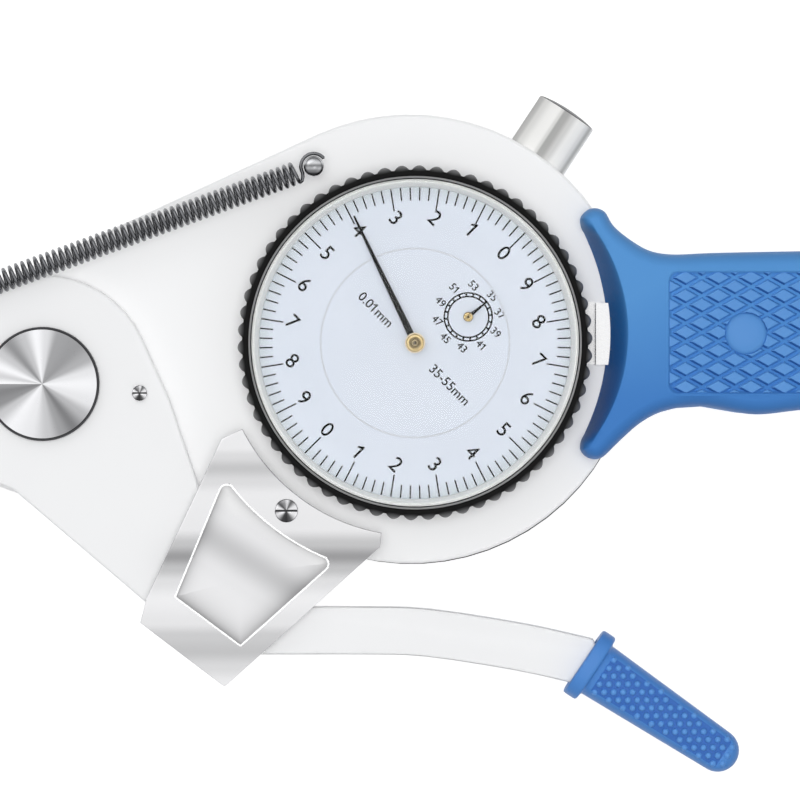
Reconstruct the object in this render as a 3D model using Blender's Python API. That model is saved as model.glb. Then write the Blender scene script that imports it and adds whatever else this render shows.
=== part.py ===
"""Inside dial caliper: a sprung jaw lever drives a dial movement through a sliding spindle.

The caliper lies on its back.  +X runs from the dial to the handle, +Z out of the dial, and the
origin is on the back face, straight behind the middle of the dial.  All sizes are in metres.
"""
import math

import bmesh
import bpy
import numpy as np
from mathutils import Matrix, Vector

# Clearances
CLEARANCE = 0.0003
RUNNING_CLEARANCE = 0.0003
OVERRUN = 0.002

# Gauge
READING_OPEN = 0.0554
READING_CLOSED = 0.0350
LEVER_RATIO = 2.0

# Case
HEAD_RADIUS = 0.0369
HEAD_OFFSET_X = -0.0008
HEAD_OFFSET_Y = 0.0007
FRAME_THICKNESS = 0.0097
BACK_COVER_THICKNESS = 0.0020
NECK_RADIUS = 0.0184
PIVOT_X = -0.06098
PIVOT_Y = -0.00672

# Spindle
SPINDLE_ANGLE = math.radians(56.6)
SPINDLE_RADIUS = 0.0020
SPINDLE_HEIGHT = 0.0058
SPINDLE_REACH = 0.0500

# Dial and bezel
BEZEL_RADIUS = 0.0290
BEZEL_BORE_RADIUS = 0.0270
BEZEL_HEIGHT = 0.0082
DIAL_RADIUS = 0.0267
DIAL_CENTRE_RADIUS = 0.0153
COUNTER_X = 0.00870
COUNTER_Y = 0.00426
POINTER_LENGTH = 0.0230

# Lever
ARM_THICKNESS = 0.0030
BOSS_RADIUS = 0.0179
JAW_THICKNESS = 0.0052
JAW_REACH = 0.0960
JAW_DROP = 0.0315
TIP_BALL_RADIUS = 0.0015
TRIGGER_WIDTH = 0.0079
SLEEVE_LENGTH = 0.0300

# Handle
HANDLE_END_X = 0.1430
HANDLE_AXIS_Y = 0.0015
GRIP_WIDTH = 0.0260
HANDLE_HEIGHT = 0.0220
TANG_WIDTH = 0.0102

# Return spring
COIL_RADIUS = 0.00170
WIRE_RADIUS = 0.00025
COIL_PITCH = 0.00102

# Levels worked out from the stack of pieces
FRAME_BOTTOM = BACK_COVER_THICKNESS + CLEARANCE
FRAME_TOP = FRAME_BOTTOM + FRAME_THICKNESS
ARM_BOTTOM = FRAME_TOP + CLEARANCE
ARM_TOP = ARM_BOTTOM + ARM_THICKNESS

# Motion
TIP_TRAVEL = READING_OPEN - READING_CLOSED
SPINDLE_TRAVEL = TIP_TRAVEL / LEVER_RATIO
ALONG = (math.cos(SPINDLE_ANGLE), math.sin(SPINDLE_ANGLE))
ASIDE = (-ALONG[1], ALONG[0])
LEVER_RADIUS = PIVOT_X * ASIDE[0] + PIVOT_Y * ASIDE[1]
LEVER_SWING = SPINDLE_TRAVEL / LEVER_RADIUS


# Plane geometry

def on_spindle(along, aside=0.0):
    """A point given by its distances along and beside the spindle's axis."""
    return (along * ALONG[0] + aside * ASIDE[0], along * ALONG[1] + aside * ASIDE[1])


def polar(radius, angle, centre=(0.0, 0.0)):
    return (centre[0] + radius * math.cos(angle), centre[1] + radius * math.sin(angle))


def arc(centre, radius, start_degrees, end_degrees, steps):
    """Points along an arc, both ends included."""
    sweep = end_degrees - start_degrees
    return [polar(radius, math.radians(start_degrees + sweep * i / steps), centre) for i in range(steps + 1)]


def circle(centre, radius, steps):
    return arc(centre, radius, 0.0, 360.0, steps)[:-1]


def turned_about(point, centre, angle):
    dx, dy = point[0] - centre[0], point[1] - centre[1]
    c, s = math.cos(angle), math.sin(angle)
    return (centre[0] + c * dx - s * dy, centre[1] + s * dx + c * dy)


def shifted(outline, dx, dy):
    return [(x + dx, y + dy) for x, y in outline]


def scaled(table, length_x, length_y, origin=(0.0, 0.0)):
    """A table of shares made into points."""
    return [(origin[0] + u * length_x, origin[1] + v * length_y) for u, v in table]


def meeting_point(centre_a, radius_a, centre_b, radius_b):
    """The upper point where two circles cross."""
    a, b = Vector(centre_a), Vector(centre_b)
    gap = (b - a).length
    foot = (radius_a ** 2 - radius_b ** 2 + gap ** 2) / (2 * gap)
    height = math.sqrt(radius_a ** 2 - foot ** 2)
    along = (b - a) / gap
    aside = Vector((-along.y, along.x))
    choices = [a + along * foot + aside * height * sign for sign in (-1, 1)]
    return tuple(max(choices, key=lambda p: p.y))


def smooth(points, steps):
    """A smooth open curve through the points."""
    padded = [Vector(points[0]) * 2 - Vector(points[1])] + [Vector(p) for p in points]
    padded.append(Vector(points[-1]) * 2 - Vector(points[-2]))
    curve = []
    for a, b, c, d in zip(padded, padded[1:], padded[2:], padded[3:]):
        for i in range(steps):
            t = i / steps
            curve.append(tuple(0.5 * (b * 2 + (c - a) * t + (a * 2 - b * 5 + c * 4 - d) * t ** 2
                                      + (b * 3 - a - c * 3 + d) * t ** 3)))
    curve.append(tuple(points[-1]))
    return curve


def normals(points, closed):
    """Unit normals on the right of the way of travel, lengthened at the corners."""
    result = []
    count = len(points)
    for i in range(count):
        before = points[i - 1] if closed or i > 0 else None
        after = points[(i + 1) % count] if closed or i < count - 1 else None
        sides = []
        for a, b in ((before, points[i]), (points[i], after)):
            if a is None or b is None:
                continue
            step = Vector(b) - Vector(a)
            sides.append(Vector((step.y, -step.x)).normalized())
        total = sum(sides, Vector((0.0, 0.0)))
        total.normalize()
        result.append(total / max(total.dot(sides[0]), 0.5))
    return result


def grown(outline, distance):
    """The outline moved outwards, or inwards where distance is negative."""
    return [(p[0] + n.x * distance, p[1] + n.y * distance) for p, n in zip(outline, normals(outline, True))]


def bar(centreline, half_widths):
    """Outline of a bar along a centreline, whose half width runs through the given values."""
    side = normals(centreline, False)
    last = len(centreline) - 1
    stations = np.linspace(0.0, 1.0, len(half_widths))
    widths = [float(np.interp(i / last, stations, half_widths)) for i in range(last + 1)]
    right = [(p[0] + n.x * w, p[1] + n.y * w) for p, n, w in zip(centreline, side, widths)]
    left = [(p[0] - n.x * w, p[1] - n.y * w) for p, n, w in zip(centreline, side, widths)]
    return right + left[::-1]


def rounded(corners, radii, steps=3):
    """The outline through the corners, each rounded by its own radius."""
    outline = []
    count = len(corners)
    for i, (corner, radius) in enumerate(zip(corners, radii)):
        here = Vector(corner)
        if not radius:
            outline.append(tuple(here))
            continue
        back = (Vector(corners[i - 1]) - here).normalized()
        ahead = (Vector(corners[(i + 1) % count]) - here).normalized()
        half = back.angle(ahead) / 2
        reach = radius / math.tan(half)
        middle = here + (back + ahead).normalized() * (radius / math.sin(half))
        first = here + back * reach - middle
        turn = (here + ahead * reach - middle).angle_signed(first)
        for k in range(steps + 1):
            spoke = first.copy()
            spoke.rotate(Matrix.Rotation(turn * k / steps, 2))
            outline.append(tuple(middle + spoke))
    return outline


def toothed_wheel(centre, teeth, pitch_radius, first_angle):
    """Outline of a wheel whose first tooth points at first_angle."""
    module = 2 * pitch_radius / teeth
    root = pitch_radius - module * ROOT_DEPTH_SHARE
    tip = pitch_radius + module * TOOTH_HEIGHT_SHARE
    half_pitch = math.pi / teeth
    outline = []
    for i in range(teeth):
        middle = first_angle + 2 * half_pitch * i
        for radius, share in ((root, -ROOT_WIDTH_SHARE), (tip, -CREST_WIDTH_SHARE),
                              (tip, CREST_WIDTH_SHARE), (root, ROOT_WIDTH_SHARE)):
            outline.append(polar(radius, middle + share * half_pitch, centre))
    return outline


# Solids

MATERIALS = {}
BASE_MATERIALS = {
    "white_enamel": ((0.87, 0.87, 0.87), 0.35, 0.0),
    "black_enamel": ((0.02, 0.02, 0.02), 0.35, 0.0),
    "polished_steel": ((0.75, 0.75, 0.76), 0.15, 1.0),
    "chrome": ((0.85, 0.85, 0.86), 0.08, 1.0),
    "spring_steel": ((0.20, 0.20, 0.21), 0.30, 1.0),
    "brass": ((0.75, 0.55, 0.20), 0.25, 1.0),
    "bezel_black": ((0.012, 0.012, 0.012), 0.40, 0.0),
    "dial_silver": ((0.70, 0.71, 0.68), 0.35, 1.0),
    "dial_face": ((0.72, 0.77, 0.87), 0.55, 0.0),
    "pointer_black": ((0.010, 0.010, 0.012), 0.45, 0.0),
    "crystal": ((0.90, 0.95, 1.0), 0.03, 0.0),
    "handle_blue": ((0.07, 0.24, 0.58), 0.40, 0.0),
    "sleeve_blue": ((0.07, 0.24, 0.58), 0.50, 0.0),
}


def material(name):
    if name not in MATERIALS:
        colour, roughness, metallic = BASE_MATERIALS[name]
        made = bpy.data.materials.new(name)
        made.use_nodes = True
        shader = made.node_tree.nodes["Principled BSDF"]
        shader.inputs["Base Color"].default_value = (*colour, 1.0)
        shader.inputs["Roughness"].default_value = roughness
        shader.inputs["Metallic"].default_value = metallic
        if name == "crystal":
            shader.inputs["Transmission Weight"].default_value = 1.0
        MATERIALS[name] = made
    return MATERIALS[name]


def finished(name, mesh, bm, finish, frame=None):
    """Close the bmesh into a mesh object with its faces pointing out."""
    bmesh.ops.recalc_face_normals(bm, faces=bm.faces)
    if bm.calc_volume(signed=True) < 0:
        bmesh.ops.reverse_faces(bm, faces=bm.faces)
    bm.to_mesh(mesh)
    bm.free()
    piece = bpy.data.objects.new(name, mesh)
    bpy.context.collection.objects.link(piece)
    if frame is not None:
        piece.matrix_world = frame
    if finish:
        mesh.materials.append(material(finish))
        mesh.shade_smooth()
        mesh.set_sharp_from_angle(angle=math.radians(35.0))
    else:
        piece.hide_render = True
        piece.display_type = "WIRE"
    return piece


def add_plate(bm, sections):
    """A closed solid through outlines of as many points, given with their heights."""
    rings = [[bm.verts.new((x, y, z)) for x, y in outline] for outline, z in sections]
    for low, high in zip(rings, rings[1:]):
        for i, vert in enumerate(low):
            bm.faces.new((low[i - 1], vert, high[i], high[i - 1]))
    bm.faces.new(rings[0][::-1])
    bm.faces.new(rings[-1])


def add_turned(bm, profile, steps, centre=(0.0, 0.0), ring=False):
    """A solid of revolution; a profile that isn't a ring starts and ends on the axis."""
    rows = []
    for radius, z in profile:
        if radius == 0:
            rows.append([bm.verts.new((centre[0], centre[1], z))])
        else:
            rows.append([bm.verts.new((x, y, z)) for x, y in circle(centre, radius, steps)])
    pairs = list(zip(rows, rows[1:]))
    if ring:
        pairs.append((rows[-1], rows[0]))
    for low, high in pairs:
        if len(low) == len(high) == 1:
            continue
        for i in range(steps):
            corners = [low[i - 1] if len(low) > 1 else None, low[i % len(low)],
                       high[i % len(high)], high[i - 1] if len(high) > 1 else None]
            bm.faces.new([corner for corner in corners if corner is not None])


def plate(name, sections, finish):
    mesh = bpy.data.meshes.new(name)
    bm = bmesh.new()
    add_plate(bm, sections)
    return finished(name, mesh, bm, finish)


def chamfered(outline, bottom, top, chamfer):
    """Sections of a plate whose top edge is chamfered."""
    return [(outline, bottom), (outline, top - chamfer), (grown(outline, -chamfer), top)]


def turned(name, profile, steps, finish, centre=(0.0, 0.0), ring=False, frame=None):
    mesh = bpy.data.meshes.new(name)
    bm = bmesh.new()
    add_turned(bm, profile, steps, centre, ring)
    return finished(name, mesh, bm, finish, frame)


def turned_each(name, profile, steps, finish, centres):
    """The same turned piece at each of the centres, numbered from 1."""
    pieces = [turned(f"{name}_1", profile, steps, finish)]
    for number in range(2, len(centres) + 1):
        copy = bpy.data.objects.new(f"{name}_{number}", pieces[0].data)
        bpy.context.collection.objects.link(copy)
        pieces.append(copy)
    for piece, centre in zip(pieces, centres):
        piece.location = (*centre, 0.0)
    return pieces


def combine(piece, tool, operation):
    change = piece.modifiers.new(tool.name, "BOOLEAN")
    change.operation = operation
    change.solver = "EXACT"
    change.object = tool


def cut_plate(piece, outline, bottom, top):
    tool = plate(f"{piece.name}.cut{len(piece.modifiers)}", [(outline, bottom), (outline, top)], None)
    combine(piece, tool, "DIFFERENCE")


def cut_holes(piece, centres, radius, bottom, top, steps=16):
    name = f"{piece.name}.cut{len(piece.modifiers)}"
    mesh = bpy.data.meshes.new(name)
    bm = bmesh.new()
    for centre in centres:
        add_turned(bm, [(0.0, bottom), (radius, bottom), (radius, top), (0.0, top)], steps, centre)
    combine(piece, finished(name, mesh, bm, None), "DIFFERENCE")


def cut_turned(piece, profile, steps, frame):
    tool = turned(f"{piece.name}.cut{len(piece.modifiers)}", profile, steps, None, frame=frame)
    combine(piece, tool, "DIFFERENCE")


def axis_frame(origin, direction):
    """A frame whose Z runs along direction."""
    return Matrix.Translation(origin) @ Vector(direction).to_track_quat("Z", "Y").to_matrix().to_4x4()


def pan_head(radius, head_height, shank_radius, underside, tip):
    """Profile of a screw with a low domed head on top."""
    shoulder = underside + head_height * HEAD_SHOULDER_SHARE
    return [(0.0, tip), (shank_radius, tip), (shank_radius, underside), (radius, underside),
            (radius, shoulder), (radius * HEAD_CROWN_SHARE, underside + head_height),
            (0.0, underside + head_height)]


def axis_empty(name, x, y, z):
    empty = bpy.data.objects.new(name, None)
    empty.location = (x, y, z)
    bpy.context.collection.objects.link(empty)
    return empty


def hang(empty, *pieces):
    """Parent the pieces to the empty on their joint's axis and leave them in place."""
    for piece in pieces:
        piece.parent = empty
        piece.matrix_parent_inverse = Matrix.Translation(empty.location).inverted()


HEAD_SHOULDER_SHARE = 0.55
HEAD_CROWN_SHARE = 0.72
TOOTH_HEIGHT_SHARE = 0.7
ROOT_DEPTH_SHARE = 1.25
ROOT_WIDTH_SHARE = 0.45
CREST_WIDTH_SHARE = 0.20

for old in list(bpy.data.objects):
    bpy.data.objects.remove(old, do_unlink=True)

PIVOT = (PIVOT_X, PIVOT_Y)
HEAD_CENTRE = (HEAD_OFFSET_X, HEAD_OFFSET_Y)
DIAL_CENTRE = (0.0, 0.0)
COUNTER = (COUNTER_X, COUNTER_Y)
DRIVE = (-COUNTER_X, -COUNTER_Y)
SPINDLE_FRAME = axis_frame((0.0, 0.0, SPINDLE_HEIGHT), (*ALONG, 0.0))

# Jaw contacts: the fixed ball is set, and the moving ball gives both end readings
BALL_GAP_OPEN = READING_OPEN - 2 * TIP_BALL_RADIUS
BALL_GAP_CLOSED = READING_CLOSED - 2 * TIP_BALL_RADIUS
FIXED_BALL = (PIVOT_X - JAW_REACH, PIVOT_Y - JAW_DROP)
MOVING_BALL = meeting_point(FIXED_BALL, BALL_GAP_OPEN,
                            turned_about(FIXED_BALL, PIVOT, -LEVER_SWING), BALL_GAP_CLOSED)


# Case

HEAD_START_DEGREES = 221.0
HEAD_END_DEGREES = 474.8
NECK_START_DEGREES = 114.8
NECK_END_DEGREES = 270.0


def case_outline():
    """Round head and round neck end, joined by tangents."""
    head = arc(HEAD_CENTRE, HEAD_RADIUS, HEAD_START_DEGREES, HEAD_END_DEGREES, 44)
    neck = arc(PIVOT, NECK_RADIUS, NECK_START_DEGREES, NECK_END_DEGREES, 18)
    return head + neck


CASE_CHAMFER = 0.0004
PIVOT_SHAFT_RADIUS = 0.0040
BUSH_RADIUS = 0.0030
BUSH_BORE_RADIUS = SPINDLE_RADIUS + RUNNING_CLEARANCE
CHANNEL_REACH = 0.0260
CHANNEL_TOP = 0.0088
CHANNEL_HALF_WIDTH = 0.0033
CHANNEL_RACK_SIDE = 0.0072
POCKET_HALF_LENGTH = 0.0095
POCKET_RADIUS = 0.0099
CASE_SCREW_RADIUS = 0.0020
CASE_SCREW_SHANK_RADIUS = 0.0010
CASE_SCREW_LENGTH = 0.0060
CASE_SCREW_HEAD = 0.0009
CASE_SCREW_DEPTH = 0.0013
STOP_PIN_X = -0.0451
STOP_PIN_Y = -0.0082
STOP_PIN_RADIUS = 0.0009
STOP_SLOT_DEPTH = 0.0040
JAW_SEAT_LENGTH = 0.0200
JAW_ROOT_HALF_WIDTH = 0.0050
JAW_ROOT_SHARE = 0.55
BACK_COVER_SHIFT_X = 0.00025
BACK_COVER_SHIFT_Y = -0.00035
JAW_BOTTOM = SPINDLE_HEIGHT - JAW_THICKNESS / 2
case_screw_places = [polar(HEAD_RADIUS - 2 * CASE_SCREW_RADIUS, math.radians(a), HEAD_CENTRE)
                     for a in (20.0, 140.0, 300.0)]
case_screw_places.append((PIVOT_X, PIVOT_Y + NECK_RADIUS - 2 * CASE_SCREW_RADIUS))
gear_direction = math.atan2(COUNTER_Y, COUNTER_X)


def pocket(shrink):
    """Long round pocket over the three arbors of the movement."""
    degrees = math.degrees(gear_direction)
    ends = [polar(POCKET_HALF_LENGTH, gear_direction), polar(-POCKET_HALF_LENGTH, gear_direction)]
    return (arc(ends[0], POCKET_RADIUS - shrink, degrees - 90, degrees + 90, 12)
            + arc(ends[1], POCKET_RADIUS - shrink, degrees + 90, degrees + 270, 12))


def stop_slot():
    """Arc slot in which the lever's stop pin travels."""
    pin = Vector((STOP_PIN_X, STOP_PIN_Y)) - Vector(PIVOT)
    start = math.degrees(math.atan2(pin.y, pin.x))
    swing = math.degrees(LEVER_SWING)
    half = STOP_PIN_RADIUS + RUNNING_CLEARANCE
    spare = math.degrees(half / pin.length)
    outer = arc(PIVOT, pin.length + half, start - spare, start + swing + spare, 5)
    inner = arc(PIVOT, pin.length - half, start - spare, start + swing + spare, 5)
    return outer + inner[::-1]


FIXED_ROOT = (PIVOT_X - NECK_RADIUS + JAW_SEAT_LENGTH, PIVOT_Y - NECK_RADIUS * JAW_ROOT_SHARE)
fixed_screw_places = [(FIXED_ROOT[0] - JAW_SEAT_LENGTH * share, FIXED_ROOT[1])
                      for share in (0.30, 0.70)]


def make_case():
    outline = case_outline()
    frame = plate("body_frame", [(outline, FRAME_BOTTOM), (outline, FRAME_TOP - CASE_CHAMFER),
                                 (grown(outline, -CASE_CHAMFER), FRAME_TOP)], "white_enamel")
    channel = [on_spindle(-CHANNEL_REACH, -CHANNEL_HALF_WIDTH), on_spindle(CHANNEL_REACH, -CHANNEL_HALF_WIDTH),
               on_spindle(CHANNEL_REACH, CHANNEL_RACK_SIDE), on_spindle(-CHANNEL_REACH, CHANNEL_RACK_SIDE)]
    cut_plate(frame, channel, FRAME_BOTTOM - OVERRUN, CHANNEL_TOP)
    cut_plate(frame, pocket(0.0), CHANNEL_TOP, FRAME_TOP + OVERRUN)
    cut_plate(frame, stop_slot(), FRAME_TOP - STOP_SLOT_DEPTH, FRAME_TOP + OVERRUN)
    seat = [(FIXED_ROOT[0] + CLEARANCE, FIXED_ROOT[1] + JAW_ROOT_HALF_WIDTH + CLEARANCE),
            (PIVOT_X - NECK_RADIUS - OVERRUN, FIXED_ROOT[1] + JAW_ROOT_HALF_WIDTH + CLEARANCE),
            (PIVOT_X - NECK_RADIUS - OVERRUN, FIXED_ROOT[1] - JAW_ROOT_HALF_WIDTH - CLEARANCE),
            (FIXED_ROOT[0] + CLEARANCE, FIXED_ROOT[1] - JAW_ROOT_HALF_WIDTH - CLEARANCE)]
    cut_plate(frame, seat, FRAME_BOTTOM - OVERRUN, JAW_BOTTOM + JAW_THICKNESS + CLEARANCE)
    bore = BUSH_RADIUS + CLEARANCE
    reach = HEAD_RADIUS + OVERRUN
    cut_turned(frame, [(0.0, -reach), (bore, -reach), (bore, reach), (0.0, reach)], 16, SPINDLE_FRAME)
    cut_holes(frame, case_screw_places, CASE_SCREW_SHANK_RADIUS + CLEARANCE,
              FRAME_BOTTOM - OVERRUN, FRAME_BOTTOM + CASE_SCREW_LENGTH, 8)
    cut_holes(frame, [PIVOT], PIVOT_SHAFT_RADIUS + CLEARANCE, FRAME_BOTTOM - OVERRUN, FRAME_TOP + OVERRUN, 24)

    cover_outline = shifted(outline, BACK_COVER_SHIFT_X, BACK_COVER_SHIFT_Y)
    cover = plate("back_cover", [(cover_outline, 0.0), (cover_outline, BACK_COVER_THICKNESS)], "black_enamel")
    cut_holes(cover, case_screw_places, CASE_SCREW_SHANK_RADIUS + CLEARANCE, -OVERRUN, FRAME_BOTTOM, 8)
    cut_holes(cover, case_screw_places, CASE_SCREW_RADIUS + CLEARANCE, -OVERRUN, CASE_SCREW_DEPTH, 12)
    head_top = CASE_SCREW_DEPTH - CLEARANCE
    profile = [(0.0, head_top - CASE_SCREW_HEAD), (CASE_SCREW_RADIUS, head_top - CASE_SCREW_HEAD),
               (CASE_SCREW_RADIUS, head_top), (CASE_SCREW_SHANK_RADIUS, head_top),
               (CASE_SCREW_SHANK_RADIUS, FRAME_BOTTOM + CASE_SCREW_LENGTH - CLEARANCE),
               (0.0, FRAME_BOTTOM + CASE_SCREW_LENGTH - CLEARANCE)]
    turned_each("back_cover_screw", profile, 8, "polished_steel", case_screw_places)


# Spindle, its bushes, rack and cap

CONTACT_COLLAR_RADIUS = 0.0020
CONTACT_LENGTH = 0.0060
CONTACT_BALL_RADIUS = 0.0015
SPINDLE_TOP = 0.0338
CAP_RADIUS = 0.0047
CAP_WALL = 0.0008
CAP_END_THICKNESS = 0.0011
CAP_LENGTH = 0.0092
CAP_CHAMFER = 0.0006
BUSH_LENGTH = 0.0120
RACK_TOP = 0.0068
RACK_BOTTOM = 0.0048
RACK_TEETH = 20
RACK_TEETH_BELOW = 18
PINION_TEETH = 16
PINION_TURN = 0.0100
rack_pitch = PINION_TURN / PINION_TEETH
pinion_radius = PINION_TURN / (2 * math.pi)
drive_along = DRIVE[0] * ALONG[0] + DRIVE[1] * ALONG[1]
drive_aside = DRIVE[0] * ASIDE[0] + DRIVE[1] * ASIDE[1]


def make_spindle():
    tip = -SPINDLE_REACH
    shoulder = tip + CONTACT_LENGTH
    spindle = turned("spindle", [(0.0, shoulder + CLEARANCE), (SPINDLE_RADIUS, shoulder + CLEARANCE),
                                 (SPINDLE_RADIUS, SPINDLE_TOP), (0.0, SPINDLE_TOP)],
                     16, "polished_steel", frame=SPINDLE_FRAME)
    ball = [(CONTACT_BALL_RADIUS * math.sin(a), tip + CONTACT_BALL_RADIUS * (1 - math.cos(a)))
            for a in [math.radians(d) for d in (0.0, 30.0, 60.0, 90.0)]]
    collar = shoulder - CONTACT_LENGTH / 3
    contact = turned("contact_point", ball + [(CONTACT_BALL_RADIUS, collar), (CONTACT_COLLAR_RADIUS, collar),
                                              (CONTACT_COLLAR_RADIUS, shoulder), (0.0, shoulder)],
                     16, "polished_steel", frame=SPINDLE_FRAME)

    module = 2 * pinion_radius / PINION_TEETH
    pitch_line = drive_aside - pinion_radius
    root = pitch_line - module * ROOT_DEPTH_SHARE
    crest = pitch_line + module * TOOTH_HEIGHT_SHARE
    back = SPINDLE_RADIUS + CLEARANCE
    first = drive_along - rack_pitch * RACK_TEETH_BELOW
    outline = [on_spindle(first - rack_pitch / 2, back)]
    for i in range(RACK_TEETH):
        middle = first + rack_pitch * i
        for depth, share in ((root, -ROOT_WIDTH_SHARE), (crest, -CREST_WIDTH_SHARE),
                             (crest, CREST_WIDTH_SHARE), (root, ROOT_WIDTH_SHARE)):
            outline.append(on_spindle(middle + share * rack_pitch / 2, depth))
    outline.append(on_spindle(first + rack_pitch * (RACK_TEETH - 1 / 2), back))
    rack = plate("spindle_rack", [(outline, RACK_BOTTOM), (outline, RACK_TOP)], "brass")

    edge = HEAD_OFFSET_X * ALONG[0] + HEAD_OFFSET_Y * ALONG[1]
    lower_end = edge - HEAD_RADIUS - CLEARANCE
    upper_end = edge + HEAD_RADIUS + CAP_LENGTH / 3
    for name, low, high in (("lower_spindle_bush", lower_end, lower_end + BUSH_LENGTH),
                            ("upper_spindle_bush", CHANNEL_REACH + CLEARANCE, upper_end)):
        turned(name, [(BUSH_BORE_RADIUS, low), (BUSH_RADIUS, low), (BUSH_RADIUS, high), (BUSH_BORE_RADIUS, high)],
               16, "brass", ring=True, frame=SPINDLE_FRAME)

    base = edge + HEAD_RADIUS + CLEARANCE
    end = base + CAP_LENGTH
    inner = CAP_RADIUS - CAP_WALL
    turned("dust_cap", [(inner, base), (CAP_RADIUS, base), (CAP_RADIUS, end - CAP_CHAMFER),
                        (CAP_RADIUS - CAP_CHAMFER, end), (0.0, end + CAP_CHAMFER / 2)]
           + [(0.0, end - CAP_END_THICKNESS), (inner, end - CAP_END_THICKNESS)],
           32, "chrome", frame=SPINDLE_FRAME, ring=True)
    empty = axis_empty("spindle_axis", 0.0, 0.0, SPINDLE_HEIGHT)
    hang(empty, spindle, contact, rack)


# Movement

WHEEL_TEETH = 60
CENTRE_PINION_TEETH = 6
PLATE_THICKNESS = 0.0008
WHEEL_THICKNESS = 0.0006
ARBOR_RADIUS = 0.0005
ARBOR_HOLE_RADIUS = 0.0009
BRIDGE_HALF_WIDTH = 0.0022
BRIDGE_HALF_LENGTH = 0.0125
BRIDGE_CROSS_LENGTH = 0.0092
PILLAR_PLACE = 0.0074
PILLAR_RADIUS = 0.0011
PLATE_BOTTOM = CHANNEL_TOP + CLEARANCE
PLATE_TOP = PLATE_BOTTOM + PLATE_THICKNESS
WHEEL_BOTTOM = PLATE_TOP + CLEARANCE
WHEEL_TOP = WHEEL_BOTTOM + WHEEL_THICKNESS
BRIDGE_TOP = FRAME_TOP
BRIDGE_BOTTOM = BRIDGE_TOP - PLATE_THICKNESS
wheel_distance = math.hypot(COUNTER_X, COUNTER_Y)
wheel_radius = wheel_distance * WHEEL_TEETH / (WHEEL_TEETH + CENTRE_PINION_TEETH)
centre_pinion_radius = wheel_distance - wheel_radius
DIAL_STANDOFF = 0.0025
DIAL_BOTTOM = FRAME_TOP + DIAL_STANDOFF
DIAL_THICKNESS = 0.0006
DIAL_TOP = DIAL_BOTTOM + DIAL_THICKNESS
HUB_BOTTOM = DIAL_TOP + CLEARANCE


def make_movement():
    lower = pocket(CLEARANCE)
    base = plate("movement_plate", [(lower, PLATE_BOTTOM), (lower, PLATE_TOP)], "brass")
    arbors = [DIAL_CENTRE, COUNTER, DRIVE]
    cut_holes(base, arbors, ARBOR_HOLE_RADIUS, PLATE_BOTTOM - OVERRUN, PLATE_TOP + OVERRUN, 10)
    across = (-math.sin(gear_direction), math.cos(gear_direction))
    lengthwise = (math.cos(gear_direction), math.sin(gear_direction))
    cross = []
    for u, v in ((BRIDGE_HALF_LENGTH, -BRIDGE_HALF_WIDTH), (BRIDGE_HALF_LENGTH, BRIDGE_HALF_WIDTH),
                 (BRIDGE_HALF_WIDTH, BRIDGE_HALF_WIDTH), (BRIDGE_HALF_WIDTH, BRIDGE_CROSS_LENGTH),
                 (-BRIDGE_HALF_WIDTH, BRIDGE_CROSS_LENGTH), (-BRIDGE_HALF_WIDTH, BRIDGE_HALF_WIDTH),
                 (-BRIDGE_HALF_LENGTH, BRIDGE_HALF_WIDTH), (-BRIDGE_HALF_LENGTH, -BRIDGE_HALF_WIDTH),
                 (-BRIDGE_HALF_WIDTH, -BRIDGE_HALF_WIDTH), (-BRIDGE_HALF_WIDTH, -BRIDGE_CROSS_LENGTH),
                 (BRIDGE_HALF_WIDTH, -BRIDGE_CROSS_LENGTH), (BRIDGE_HALF_WIDTH, -BRIDGE_HALF_WIDTH)):
        cross.append((u * lengthwise[0] + v * across[0], u * lengthwise[1] + v * across[1]))
    bridge = plate("movement_bridge", [(cross, BRIDGE_BOTTOM), (cross, BRIDGE_TOP)], "brass")
    pillars = [(across[0] * PILLAR_PLACE * side, across[1] * PILLAR_PLACE * side) for side in (-1, 1)]
    cut_holes(bridge, arbors + pillars, ARBOR_HOLE_RADIUS, BRIDGE_BOTTOM - OVERRUN, BRIDGE_TOP + OVERRUN, 10)
    head = BRIDGE_TOP + CLEARANCE
    for pillar in turned_each("movement_plate.pillar", [
            (0.0, PLATE_BOTTOM + PLATE_THICKNESS / 2), (PILLAR_RADIUS, PLATE_BOTTOM + PLATE_THICKNESS / 2),
            (PILLAR_RADIUS, BRIDGE_BOTTOM - CLEARANCE), (ARBOR_RADIUS, BRIDGE_BOTTOM - CLEARANCE),
            (ARBOR_RADIUS, head), (PILLAR_RADIUS, head), (PILLAR_RADIUS, head + PLATE_THICKNESS),
            (0.0, head + PLATE_THICKNESS)], 10, None, pillars):
        pillar.hide_render = True
        pillar.display_type = "WIRE"
        combine(base, pillar, "UNION")


def wheel_on_arbor(name, centre, teeth, radius, phase, bottom, top, arbor_bottom, arbor_top):
    """A toothed wheel and the arbor that carries it, joined."""
    outline = toothed_wheel(centre, teeth, radius, phase)
    wheel = plate(name, [(outline, bottom), (outline, top)], "brass")
    arbor = turned(name + ".arbor", [(0.0, arbor_bottom), (ARBOR_RADIUS, arbor_bottom),
                                     (ARBOR_RADIUS, arbor_top), (0.0, arbor_top)], 10, None, centre)
    combine(wheel, arbor, "UNION")
    return wheel


HUB_RADIUS = 0.0016
HUB_HEIGHT = 0.0021
POINTER_THICKNESS = 0.0003
POINTER_ROOT_HALF_WIDTH = 0.00050
POINTER_TIP_HALF_WIDTH = 0.00010
COUNTER_HUB_RADIUS = 0.0008
COUNTER_HUB_HEIGHT = 0.0009
COUNTER_POINTER_LENGTH = 0.0038
POINTER_ANGLE = math.radians(115.7)
COUNTER_POINTER_ANGLE = math.radians(39.0)


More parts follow.
